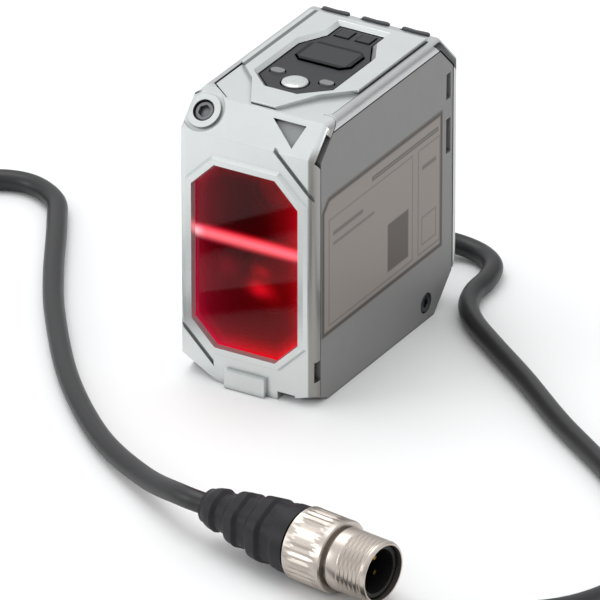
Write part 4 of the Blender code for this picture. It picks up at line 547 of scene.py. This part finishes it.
# Painted light: the block's glow is emission set by depth, side and floor.
depth_fade = zone(tree, (Y_AXIS, CHAMBER_FLOOR, HOLDER_FRONT), low=0.06)
side_glow = zone(tree, (X_AXIS, -11.8, -5.0), (X_AXIS, 11.8, 5.0), low=0.08, high=0.015)
floor_glow = zone(tree, (Z_AXIS, 13.0, 8.8), high=0.1)
wall_glow = add_node(tree, "ShaderNodeMath", {0: side_glow, 1: floor_glow},
                     operation="ADD").outputs[0]
block_glow = add_node(tree, "ShaderNodeMath", {0: depth_fade, 1: wall_glow},
                      operation="MULTIPLY").outputs[0]
tree.links.new(block_glow, shader.inputs["Emission Strength"])
shader.inputs["Emission Color"].default_value = linear("F0204A")
print(glowing_block.name, "glows from y", HOLDER_FRONT, "to", CHAMBER_FLOOR, "mm")

# %% [markdown]
# ## The red window
# The window is a flat octagon of red acrylic that lets only the laser's colour through. A cut
# box has its shape, but light creeps along the sheet, and here it is painted on as a glow: a thin
# bright edge, a wide crimson glow that fades towards the middle, and soft spots, the strongest a
# painted glint in front of the receiving lens. So the pane is built as rings from its centre to
# its edge and round to its back, and its points store the painted glow.

# %% Rings of the pane
PANE_HALF_WIDTH, PANE_LOW, PANE_HIGH, PANE_CORNER = 11.9 * MM, 8.6 * MM, 48.4 * MM, 5.1 * MM
PANE_FRONT, PANE_BACK, PANE_LAP, PANE_EDGE = -27.2 * MM, -25.7 * MM, 1.2 * MM, 0.15 * MM
FRONT_RINGS, BACK_RINGS, POINTS_PER_SIDE = 49, 6, 16


def octagon_points(half_width, low, high, corner):
    """Evenly spaced points along the eight sides of a rectangle with cut corners."""
    corners = np.array(((-half_width + corner, low), (half_width - corner, low),
                        (half_width, low + corner), (half_width, high - corner),
                        (half_width - corner, high), (-half_width + corner, high),
                        (-half_width, high - corner), (-half_width, low + corner)))
    t = np.arange(POINTS_PER_SIDE)[None, :, None] / POINTS_PER_SIDE
    following = np.roll(corners, -1, axis=0)
    return (corners[:, None] * (1 - t) + following[:, None] * t).reshape(-1, 2)


rim_line = octagon_points(PANE_HALF_WIDTH + PANE_LAP, PANE_LOW - PANE_LAP, PANE_HIGH + PANE_LAP,
                          PANE_CORNER + PANE_LAP * (2 - math.sqrt(2)))
pane_middle = np.array((0.0, (PANE_LOW + PANE_HIGH) / 2))
size = np.concatenate((np.linspace(0, 1, FRONT_RINGS), (1, 1), np.linspace(1, 0, BACK_RINGS)))
inset = np.zeros(len(size))
inset[[FRONT_RINGS - 1, FRONT_RINGS + 2]] = PANE_EDGE
depth = np.concatenate((np.full(FRONT_RINGS, PANE_FRONT),
                        (PANE_FRONT + PANE_EDGE, PANE_BACK - PANE_EDGE),
                        np.full(BACK_RINGS, PANE_BACK)))
offsets = (rim_line - pane_middle)[None] * (size - inset / PANE_HALF_WIDTH)[:, None, None]
pane_x, pane_z = np.moveaxis(pane_middle + offsets, -1, 0)
pane_points = np.stack((pane_x, np.broadcast_to(depth[:, None], pane_x.shape), pane_z), -1)
print("pane of", len(size), "rings of", len(rim_line), "points")

# %% Painted light stored on the pane
EDGE_REACH, SIDE_REACH, FLOOR_REACH = 0.7, 2.6, 2.4
EDGE_STRENGTH, WIDE_STRENGTH = 0.45, 0.2
LOWER_TOP, LOWER_FADE = 27.5, 1.5
# Place, spread across and up in mm, and strength of each painted spot of light; the first two
# are a painted glint in front of the receiving lens.
PAINTED_LIGHT_SPOTS = ((2.7, 23.0, 2.3, 1.5, 3.2), (3.1, 27.0, 1.8, 1.1, 0.9), (-4.6, 26.2, 2.0, 2.0, 0.3),
         (11.0, 41.0, 5.0, 6.0, 0.5), (11.0, 34.0, 4.0, 4.0, 0.4))


def pane_light(x, z):
    """Light at places in mm: exp(-gap / reach) from the rim, sides and floor, plus the spots.

    The rim and sides are stronger towards the lower right, by a smooth curve across the pane.
    All of it is painted light.
    """
    half_width, corner = PANE_HALF_WIDTH / MM, PANE_CORNER / MM
    low, half_height = PANE_LOW / MM, (PANE_HIGH - PANE_LOW) / (2 * MM)
    over_middle = z - pane_middle[1] / MM
    side_gap = np.abs(x) - half_width
    end_gap = np.abs(over_middle) - half_height
    corner_gap = (np.abs(x) + np.abs(over_middle) - (half_width + half_height - corner)) * SLOPE
    from_rim = np.minimum(np.maximum(np.maximum(side_gap, end_gap), corner_gap), 0)
    lit_side = 0.25 + 0.75 / (1 + np.exp(-(x - over_middle * 0.5) / 5.0))
    edge = np.exp(from_rim / EDGE_REACH) * lit_side
    wide = (0.05 + 0.62 * np.exp(np.minimum(side_gap, 0) / SIDE_REACH) * (0.55 + 0.45 * lit_side)
            + 0.55 * np.exp(-(z - low) / FLOOR_REACH)
            + 0.17 / (1 + np.exp((z - LOWER_TOP) / LOWER_FADE)))
    for spot_x, spot_z, spread_x, spread_z, strength in PAINTED_LIGHT_SPOTS:
        away = ((x - spot_x) / spread_x) ** 2 + ((z - spot_z) / spread_z) ** 2
        wide = wide + strength * np.exp(-away)
    return EDGE_STRENGTH * edge + WIDE_STRENGTH * wide


painted_pane_glow = pane_light(pane_x / MM, pane_z / MM)
print("light in the sheet up to", painted_pane_glow.max().round(3))

# %% [markdown]
# ### The pane's acrylic
# Real transmission keeps the chambers behind visible, and an anti-reflection coat, drawn as a
# dark specular tint, keeps the white table out of the pane. The lit line is painted light, drawn
# as laser light caught in the sheet, white-hot at its left end, and the stored painted glow
# shines crimson round it.

# %% Red acrylic and the pane
LINE_HEIGHT, LINE_FADE = 32.5, 2.3
red_acrylic = finish("red_acrylic_filter", "B80A24", 0.04, grain=3.0, tone=0.02, gloss=0.02,
                     bump=0.0005, Transmission_Weight=0.985, IOR=1.49, Specular_IOR_Level=0.0,
                     Specular_Tint=(0.22, 0.22, 0.22, 1.0))
tree = red_acrylic.node_tree
shader = tree.nodes["Principled BSDF"]
# Painted light: the bright line and the stored glow are emission of the pane.
line_light = zone(tree, (Z_AXIS, LINE_HEIGHT - LINE_FADE, LINE_HEIGHT),
                  (Z_AXIS, LINE_HEIGHT + LINE_FADE, LINE_HEIGHT))
stored_light = add_node(tree, "ShaderNodeAttribute", attribute_name="painted_pane_glow").outputs["Fac"]
line_colour = add_node(tree, "ShaderNodeMix",
                       {"Factor": zone(tree, (X_AXIS, -8.0, 10.0)), COLOUR_A: linear("F27A80"),
                        COLOUR_B: linear("FF7480")}, data_type="RGBA").outputs[COLOUR_OUT]
line_colour = add_node(tree, "ShaderNodeMix",
                       {"Factor": zone(tree, (X_AXIS, -9.4, -12.2)), COLOUR_A: line_colour,
                        COLOUR_B: linear("F2C4C8")}, data_type="RGBA").outputs[COLOUR_OUT]
painted_glow_colour = add_node(tree, "ShaderNodeMix",
                        {"Factor": zone(tree, (X_AXIS, 2.0, -11.0)), COLOUR_A: linear("E81024"),
                         COLOUR_B: linear("E02454")}, data_type="RGBA").outputs[COLOUR_OUT]
light_colour = add_node(tree, "ShaderNodeMix",
                        {"Factor": line_light, COLOUR_A: painted_glow_colour, COLOUR_B: line_colour},
                        data_type="RGBA").outputs[COLOUR_OUT]
light_strength = add_node(tree, "ShaderNodeMath", {0: line_light, 1: stored_light},
                          operation="MAXIMUM").outputs[0]
tree.links.new(light_colour, shader.inputs["Emission Color"])
tree.links.new(light_strength, shader.inputs["Emission Strength"])
grid_piece("red_acrylic_pane", pane_points, red_acrylic,
           replaces="front_window", attributes={"painted_pane_glow": painted_pane_glow})

# %% [markdown]
# ## Finishes on the frame's own nodes
# Nodes whose shape is right stay and only get a better finish, by the name of their slot. A
# few get one of their own: the lit optics block, the display's cover, and the barrel and ring
# in the light path, which are blackened inside and out.

# %% A finish for every slot
SLOT_FINISH = {
    "die_cast_metal": plated_casting, "side_cover_metal": blasted_steel,
    "bezel_metal": polished_casting, "screw_steel": screw_oxide, "red_filter": red_acrylic,
    "black_plastic": black_nylon, "dark_panel": dark_panel, "smoked_lens": smoked_acrylic,
    "silver_key": silver_lacquer, "grey_key": grey_key, "seal_rubber": nitrile,
    "clear_glass": lens_glass, "brass": turned_brass, "gold_pin": gold_plate,
    "circuit_board": circuit_board, "chip_black": chip_epoxy, "cable_jacket": pur_jacket,
    "boot_plastic": pur_boot, "nickel_brass": nickel_brass,
}
NODE_FINISH = {
    "optics_holder": glowing_block, "display_lens": display_cover,
    "emitter_barrel": black_nylon, "lens_retaining_ring": black_nylon,
}
for name, node in nodes.items():
    for slot in node.material_slots:
        slot.material = NODE_FINISH.get(name, SLOT_FINISH[slot.material.name.split(".")[0]])
print("finishes on", len(nodes), "nodes")

# %% [markdown]
# ## Castings with softened edges
# A casting never has a razor edge: the die, the blasting and the plating leave a small round
# that catches a thin line of light. The frame's mesh is copied, its doubled points are merged
# and its flat triangles joined, and a Bevel modifier rounds every edge over 25 degrees. Normals
# weighted by face area keep the large faces flat.

# %% Softened copies of the metal shells
DOUBLE_DISTANCE = 0.002 * MM
FLAT_ANGLE, ROUND_ANGLE, SMOOTH_ANGLE = math.radians(1.0), math.radians(25), math.radians(35)


def softened(node_name, piece_name, material, round_mm):
    """A merged copy of a frame node with a small round of a given width along its edges."""
    data = bmesh.new()
    data.from_mesh(nodes[node_name].data)
    bmesh.ops.remove_doubles(data, verts=data.verts, dist=DOUBLE_DISTANCE)
    bmesh.ops.dissolve_limit(data, angle_limit=FLAT_ANGLE, verts=data.verts, edges=data.edges)
    mesh = bpy.data.meshes.new(piece_name)
    data.to_mesh(mesh)
    data.free()
    mesh.shade_smooth()
    mesh.set_sharp_from_angle(angle=SMOOTH_ANGLE)
    piece = add_piece(piece_name, mesh, material, replaces=node_name)
    bevel = piece.modifiers.new("edge_round", "BEVEL")
    bevel.width = round_mm * MM
    bevel.segments = 2
    bevel.limit_method = "ANGLE"
    bevel.angle_limit = ROUND_ANGLE
    flatten = piece.modifiers.new("flat_faces", "WEIGHTED_NORMAL")
    flatten.weight = 100
    flatten.keep_sharp = True


softened("main_housing", "cast_housing", housing_casting, 0.16)
softened("front_bezel", "cast_bezel", bezel_casting, 0.16)
softened("side_cover", "blasted_side_cover", blasted_steel, 0.14)
softened("top_cover", "cast_top_frame", frame_casting, 0.16)
softened("panel_base", "moulded_panel", dark_panel, 0.12)

# %% [markdown]
# ## Film label on the side
# The real cover carries a film label inside a thin dark frame. Here it is a plain warm grey
# film with its frame and a few empty fields and bars. Bars as pieces of their own would flicker
# against the film, so it is a sheet of fine squares between a left edge with a cut corner and a
# straight right edge, and the ink is stored on its points. Solidify gives it its thickness.

# %% Points and ink of the film
LABEL_SIDE = 15.5 * MM
LABEL_LEFT, LABEL_RIGHT, LABEL_LOW, LABEL_HIGH = -25.05 * MM, 22.6 * MM, 14.2 * MM, 44.6 * MM
LABEL_CUT, LABEL_THICKNESS, LABEL_STEP = 2.6 * MM, 0.06 * MM, 0.22 * MM
LINE_WIDTH = 0.55 * MM
# Low and high y, low and high z in mm, strength of the ink, and whether the field is filled.
LABEL_FIELDS = ((-22.2, 10.6, 16.2, 39.4, 0.5, False), (12.9, 21.4, 16.2, 39.4, 0.5, False),
                (-5.2, 20.6, 40.9, 41.5, 1.0, False), (0.8, 9.0, 17.8, 28.4, 0.85, True),
                (-20.6, -9.0, 35.4, 36.3, 0.6, True), (-20.6, -4.5, 33.2, 33.9, 0.5, True),
                (14.4, 19.9, 34.6, 35.5, 0.6, True), (14.4, 19.9, 18.0, 24.0, 0.5, False))


def label_sheet():
    """Points and ink: y runs from the cut left edge to the right one, z is even.

    Ink falls from 1 to 0 with the distance from the frame's line or from a field.
    """
    columns = round((LABEL_RIGHT - LABEL_LEFT) / LABEL_STEP)
    rows = round((LABEL_HIGH - LABEL_LOW) / LABEL_STEP)
    u, v = np.meshgrid(np.linspace(0, 1, columns), np.linspace(0, 1, rows))
    z = LABEL_LOW + v * (LABEL_HIGH - LABEL_LOW)
    left = LABEL_LEFT + np.maximum(0, z - (LABEL_HIGH - LABEL_CUT))
    y = left + u * (LABEL_RIGHT - left)
    points = np.stack((np.full_like(y, LABEL_SIDE + LABEL_THICKNESS), y, z), -1)
    cut_gap = (y - LABEL_LEFT + LABEL_HIGH - z - LABEL_CUT) * SLOPE
    edge_gap = np.minimum(np.minimum(y - LABEL_LEFT, LABEL_RIGHT - y),
                          np.minimum(np.minimum(z - LABEL_LOW, LABEL_HIGH - z), cut_gap))
    ink = np.clip(1.6 - np.abs(edge_gap - LINE_WIDTH) / (LINE_WIDTH * 0.75), 0, 1)
    for low_y, high_y, low_z, high_z, strength, filled in LABEL_FIELDS:
        box_gap = np.maximum(np.maximum(low_y * MM - y, y - high_y * MM),
                             np.maximum(low_z * MM - z, z - high_z * MM))
        edge = box_gap if filled else np.abs(box_gap) - LINE_WIDTH * 0.3
        ink = np.maximum(ink, np.clip(0.5 - edge / (LINE_WIDTH * 0.5), 0, 1) * strength)
    return points, ink


sheet_points, sheet_ink = label_sheet()
print("label", sheet_ink.shape, "points, inked", round(float(sheet_ink.mean()), 3))

# %% The film
# Polyester film, grey lacquered: satin, a little metallic from the silver under it.
film = finish("printed_polyester_film", "857E78", 0.5, metallic=0.15, grain=0.6, tone=0.05,
              bump=0.006)
ink_share = add_node(film.node_tree, "ShaderNodeAttribute", attribute_name="ink").outputs["Fac"]
tint(film, ink_share, "3E3834")
label_mesh = bpy.data.meshes.new("blank_label_film")
label_mesh.from_pydata(sheet_points.reshape(-1, 3), [],
                       grid_quads(*sheet_ink.shape, close_columns=False))
label_mesh.attributes.new("ink", "FLOAT", "POINT").data.foreach_set("value", sheet_ink.ravel())
label = add_piece("blank_label_film", label_mesh, film)
thickness = label.modifiers.new("film_thickness", "SOLIDIFY")
thickness.thickness = LABEL_THICKNESS
thickness.offset = -1.0

# %% [markdown]
# ## Turned and moulded round pieces
# The gland, the boot, the coupling nut and the screws are round about an axis. A Screw
# modifier could spin a profile, but it can't vary it with the angle. So one function carries a
# profile round the axis: every row of the grid is one point of the profile, every column one
# angle. The radius may change with the angle, which gives flutes, a thread or a hexagon.

# %% Carry a profile round an axis
def round_points(start, axis, along, radius, columns):
    """Point = start + axis * along + (side * cos + up * sin) * radius, for each row and angle."""
    axis = np.asarray(axis, float) / np.linalg.norm(axis)
    helper = np.array(Z_AXIS) if abs(axis[2]) < 0.9 else np.array(X_AXIS)
    side = np.cross(helper, axis)
    side /= np.linalg.norm(side)
    up = np.cross(axis, side)
    angle = np.linspace(0, 2 * math.pi, columns, endpoint=False)
    along = np.broadcast_to(np.asarray(along, float)[:, None], (len(along), columns))
    radius = np.asarray(radius, float)
    radius = radius if radius.ndim == 2 else np.broadcast_to(radius[:, None], along.shape)
    ray = np.cos(angle)[:, None] * side + np.sin(angle)[:, None] * up
    return np.asarray(start, float) + along[..., None] * axis + radius[..., None] * ray[None]


# %% [markdown]
# ## Socket screws
# Two screws show: a bright one in the ear at the top left and a black one at the rear of the
# side cover. Instead of a boolean cut for the hexagon socket, the grid dives into the head: its
# first rows are a hexagon, whose radius is half the width across flats divided by the cosine of
# the angle from the nearest flat.

# %% Screws with a hexagon socket
SCREW_COLUMNS, HEAD_EDGE, TIP_EDGE = 48, 0.18, 0.3
MOUTH_DEPTH, MOUTH_FLARE = 0.12, 1.08
EAR_REACH, HEAD_PROUD = 6.3, 0.4


def socket_screw(name, node_name, material, start, axis, head, height, shank, length, socket,
                 depth):
    """Rows: socket floor centre, hexagon floor, hexagon mouth, head, shank, tip. Lengths in mm."""
    angle = np.linspace(0, 2 * math.pi, SCREW_COLUMNS, endpoint=False)
    hexagon = socket / 2 / np.cos((angle + math.pi / 6) % (math.pi / 3) - math.pi / 6)
    tip = height + length
    along = np.array((depth, depth, MOUTH_DEPTH, 0, 0, HEAD_EDGE, height, height,
                      tip - TIP_EDGE, tip, tip))
    radius = np.array((0, 0, 0, 0, head - HEAD_EDGE, head, head, shank, shank, shank - TIP_EDGE,
                       0.0))
    radius = np.repeat(radius[:, None], SCREW_COLUMNS, 1)
    radius[1] = radius[2] = hexagon
    radius[3] = hexagon * MOUTH_FLARE
    points = round_points(np.array(start) * MM, axis, along * MM, radius * MM, SCREW_COLUMNS)
    grid_piece(name, points, material, replaces=node_name, sharp_angle=40)


socket_screw("side_socket_screw", "side_cover_screw", screw_oxide, (15.4, 16.5, 3.9), (-1, 0, 0),
             head=1.9, height=0.7, shank=0.9, length=4.2, socket=1.7, depth=0.5)
socket_screw("bezel_socket_screw", "bezel_screw", bright_screw,
             (-11.6, -29.1 + (EAR_REACH + HEAD_PROUD) * SLOPE,
              53.4 + (EAR_REACH - HEAD_PROUD) * SLOPE), UNDER_SLOPE,
             head=2.0, height=1.2, shank=1.25, length=4.6, socket=2.2, depth=0.9)

# %% [markdown]
# ## Plugs in the rear slots
# Three grey rubber plugs close the slots at the rear of the top; their dark grey is painted
# shade, standing in for the shade inside the slots. A bevelled box would look hard, so each is a
# squarish oval whose wall climbs out of the slot and domes over, with a slant along its rear edge
# that follows the housing's chamfer.

# %% Slot plugs
SLOT_PLACES, SLOT_Y = (-9.2, 0.0, 9.2), 22.7
PLUG_LENGTH, PLUG_DEPTH, PLUG_LOW, PLUG_HIGH = 6.3, 1.3, 58.4, 60.65
CHAMFER_START, PLUG_COLUMNS = 23.0, 40


def plug_points(x):
    """Squarish oval: cos to the power 0.35 across, sin to 0.6 along; z climbs and domes over."""
    angle = np.linspace(0, 2 * math.pi, PLUG_COLUMNS, endpoint=False)
    oval_x = np.sign(np.cos(angle)) * np.abs(np.cos(angle)) ** 0.35 * PLUG_LENGTH / 2
    oval_y = np.sign(np.sin(angle)) * np.abs(np.sin(angle)) ** 0.6 * PLUG_DEPTH / 2
    wall_z = np.array((PLUG_LOW, PLUG_LOW, PLUG_HIGH - 0.35, PLUG_HIGH - 0.12, PLUG_HIGH,
                       PLUG_HIGH))
    oval_size = np.array((0.0, 1.0, 1.0, 0.96, 0.82, 0.0))[:, None]
    fall = np.maximum(0.0, oval_y + SLOT_Y - CHAMFER_START)
    return np.stack((x + oval_size * oval_x, SLOT_Y + oval_size * oval_y,
                     wall_z[:, None] - fall * oval_size), -1) * MM


for number, x in enumerate(SLOT_PLACES, 1):
    # Painted shade: the dark grey plugs stand in for the shade inside the slots.
    grid_piece(f"rear_slot_shade_plug_{number}", plug_points(x), slot_shade_rubber)

# %% [markdown]
# ## Cable gland
# Where the cable leaves the housing, a short moulded gland holds it, with a collar against the
# housing and a taper with three shallow grip grooves. Its profile is written as distance and
# radius, and the grooves lie where a sine wave dips.

# %% Cable gland with grip rings
GLAND_START, GLAND_HEIGHT, GLAND_COLUMNS = 22.6, 5.2, 48
GLAND_WIDE, GLAND_THIN, GLAND_TAPER = 3.9, 2.75, 3.1
GRIP_RINGS, GRIP_DEPTH, TAPER_START = 3, 0.22, 6.6
t = np.linspace(0, 1, 30)
grooves = GRIP_DEPTH * (np.sin(2 * math.pi * GRIP_RINGS * t) < -0.2)
taper = GLAND_WIDE + (GLAND_THIN - GLAND_WIDE) * t - grooves
along = np.concatenate(((0, 0, 5.0, 5.0, 5.2, 6.4, 6.6), TAPER_START + GLAND_TAPER * t,
                        (TAPER_START + GLAND_TAPER,)))
radius = np.concatenate(((0, 2.6, 2.6, 4.0, 4.2, 4.2, 4.0), taper, (0,)))
points = round_points(np.array((0, GLAND_START, GLAND_HEIGHT)) * MM, Y_AXIS, along * MM,
                      radius * MM, GLAND_COLUMNS)
grid_piece("moulded_gland", points, pur_boot, replaces="cable_gland")

# %% [markdown]
# ## Plug boot
# The boot is moulded onto the cable and the back of the plug. It grows from the cable's
# thickness to the nut's, with square flex rings that let it bend and six flats for the fingers.
# Loop cuts would do it by hand. As a radius over length and angle it is one line each for the
# body, the rings, the flats and the collar.

# %% Plug boot with flex rings
BOOT_LENGTH, BOOT_ROWS, BOOT_COLUMNS = 23.2, 140, 72
BOOT_THIN, BOOT_GROWTH = 3.45, 3.35
RING_HEIGHT, RING_COUNT = 0.38, 3.6
FLAT_DEPTH, FLAT_COUNT = 0.22, 6
COLLAR_HEIGHT, RINGS_END, COLLAR_START = 0.15, 0.84, 0.86


def boot_radius(t, angle):
    """Body (sine growth) + rings (clipped sine) + collar at the nut + flats (cosine of angle)."""
    body = BOOT_THIN + BOOT_GROWTH * np.sin(t * math.pi / 2) ** 1.15
    rings = RING_HEIGHT * np.clip(2.2 * np.sin(2 * math.pi * (RING_COUNT * t - 0.1)), -1, 1)
    rings = rings * (t < RINGS_END) * np.clip(t * 12, 0, 1)
    collar = COLLAR_HEIGHT * np.clip((t - COLLAR_START) * 40, 0, 1)
    flats = (-FLAT_DEPTH * np.cos(angle * FLAT_COUNT) * np.clip((t - 0.25) * 6, 0, 1)
             * np.clip((RINGS_END - t) * 12, 0, 1))
    return body + rings + collar + flats


t = np.linspace(0, 1, BOOT_ROWS)
angle = np.linspace(0, 2 * math.pi, BOOT_COLUMNS, endpoint=False)
closed_end = np.zeros((1, BOOT_COLUMNS))
radius = np.vstack((closed_end, boot_radius(t[:, None], angle[None]), closed_end))
along = np.concatenate(((0,), t * BOOT_LENGTH, (BOOT_LENGTH,)))
points = round_points(PLUG_START, PLUG_AXIS, along * MM, radius * MM, BOOT_COLUMNS)
boot = grid_piece("flex_boot", points, pur_boot, replaces="connector_boot")

# %% [markdown]
# ## Coupling nut
# The nut turns on the plug: a knurled head for the fingers and a threaded sleeve. A boolean
# with a helix is slow and leaves poor faces. Here the thread is a radius that falls with the
# distance from the nearest turn of the helix, and the knurl is a cosine round the head that
# fades out at both ends. The profile runs on through the bore and closes on itself.

# %% Coupling nut with knurl and thread
NUT_START = PLUG_START + PLUG_AXIS * 23.5 * MM
NUT_COLUMNS, NUT_FLUTES, THREAD_PITCH = 144, 36, 1.0
KNURL_START, KNURL_END, HEAD_RADIUS, FLUTE_DEPTH = 0.9, 8.2, 7.4, 0.22
THREAD_START, THREAD_END, THREAD_RADIUS, THREAD_DEPTH = 12.4, 18.7, 6.3, 0.3
# Distance and radius in mm of the plain rows before, between and after knurl and thread.
NUT_LIP = ((0.0, 4.5), (0.0, 6.9), (0.45, 7.4))
NUT_GROOVE = ((8.5, 7.4), (9.2, 7.4), (9.45, 7.15), (9.5, 5.95), (10.2, 5.95), (10.25, 6.3))
NUT_BORE = ((19.2, 6.15), (19.5, 5.9), (19.5, 5.6), (1.5, 5.6), (1.5, 4.5))


def nut_rows():
    """Distance and radius in mm: lip, knurled head, groove, threaded sleeve, bore, and back.

    Knurl = head - depth * half of (1 - cos(flutes * angle)); thread = outer - depth * |2 turn - 1|.
    """
    angle = np.linspace(0, 2 * math.pi, NUT_COLUMNS, endpoint=False)
    knurl_along = np.linspace(KNURL_START, KNURL_END, 12)
    knurl_fade = np.clip(np.minimum(knurl_along - KNURL_START, KNURL_END - knurl_along) / 0.7, 0, 1)
    flute = 0.5 - 0.5 * np.cos(NUT_FLUTES * angle)
    knurl = HEAD_RADIUS - FLUTE_DEPTH * knurl_fade[:, None] * flute[None]
    thread_along = np.linspace(THREAD_START, THREAD_END, 64)
    turn = (thread_along[:, None] / THREAD_PITCH - angle[None] / (2 * math.pi)) % 1.0
    fade = np.clip(np.minimum(thread_along - THREAD_START, THREAD_END - thread_along) / 0.6, 0, 1)
    thread = THREAD_RADIUS - THREAD_DEPTH * fade[:, None] * np.abs(2 * turn - 1)
    lip, groove, bore = ([(s, np.full(NUT_COLUMNS, r)) for s, r in part]
                         for part in (NUT_LIP, NUT_GROOVE, NUT_BORE))
    rows = [*lip, *zip(knurl_along, knurl), *groove, *zip(thread_along, thread), *bore]
    return tuple(np.array(part) for part in zip(*rows))


along, radius = nut_rows()
points = round_points(NUT_START, PLUG_AXIS, along * MM, radius * MM, NUT_COLUMNS)
nut = grid_piece("knurled_coupling_nut", points, nickel_brass,
                 body="coupling_nut", close_rows=True, replaces="coupling_nut")
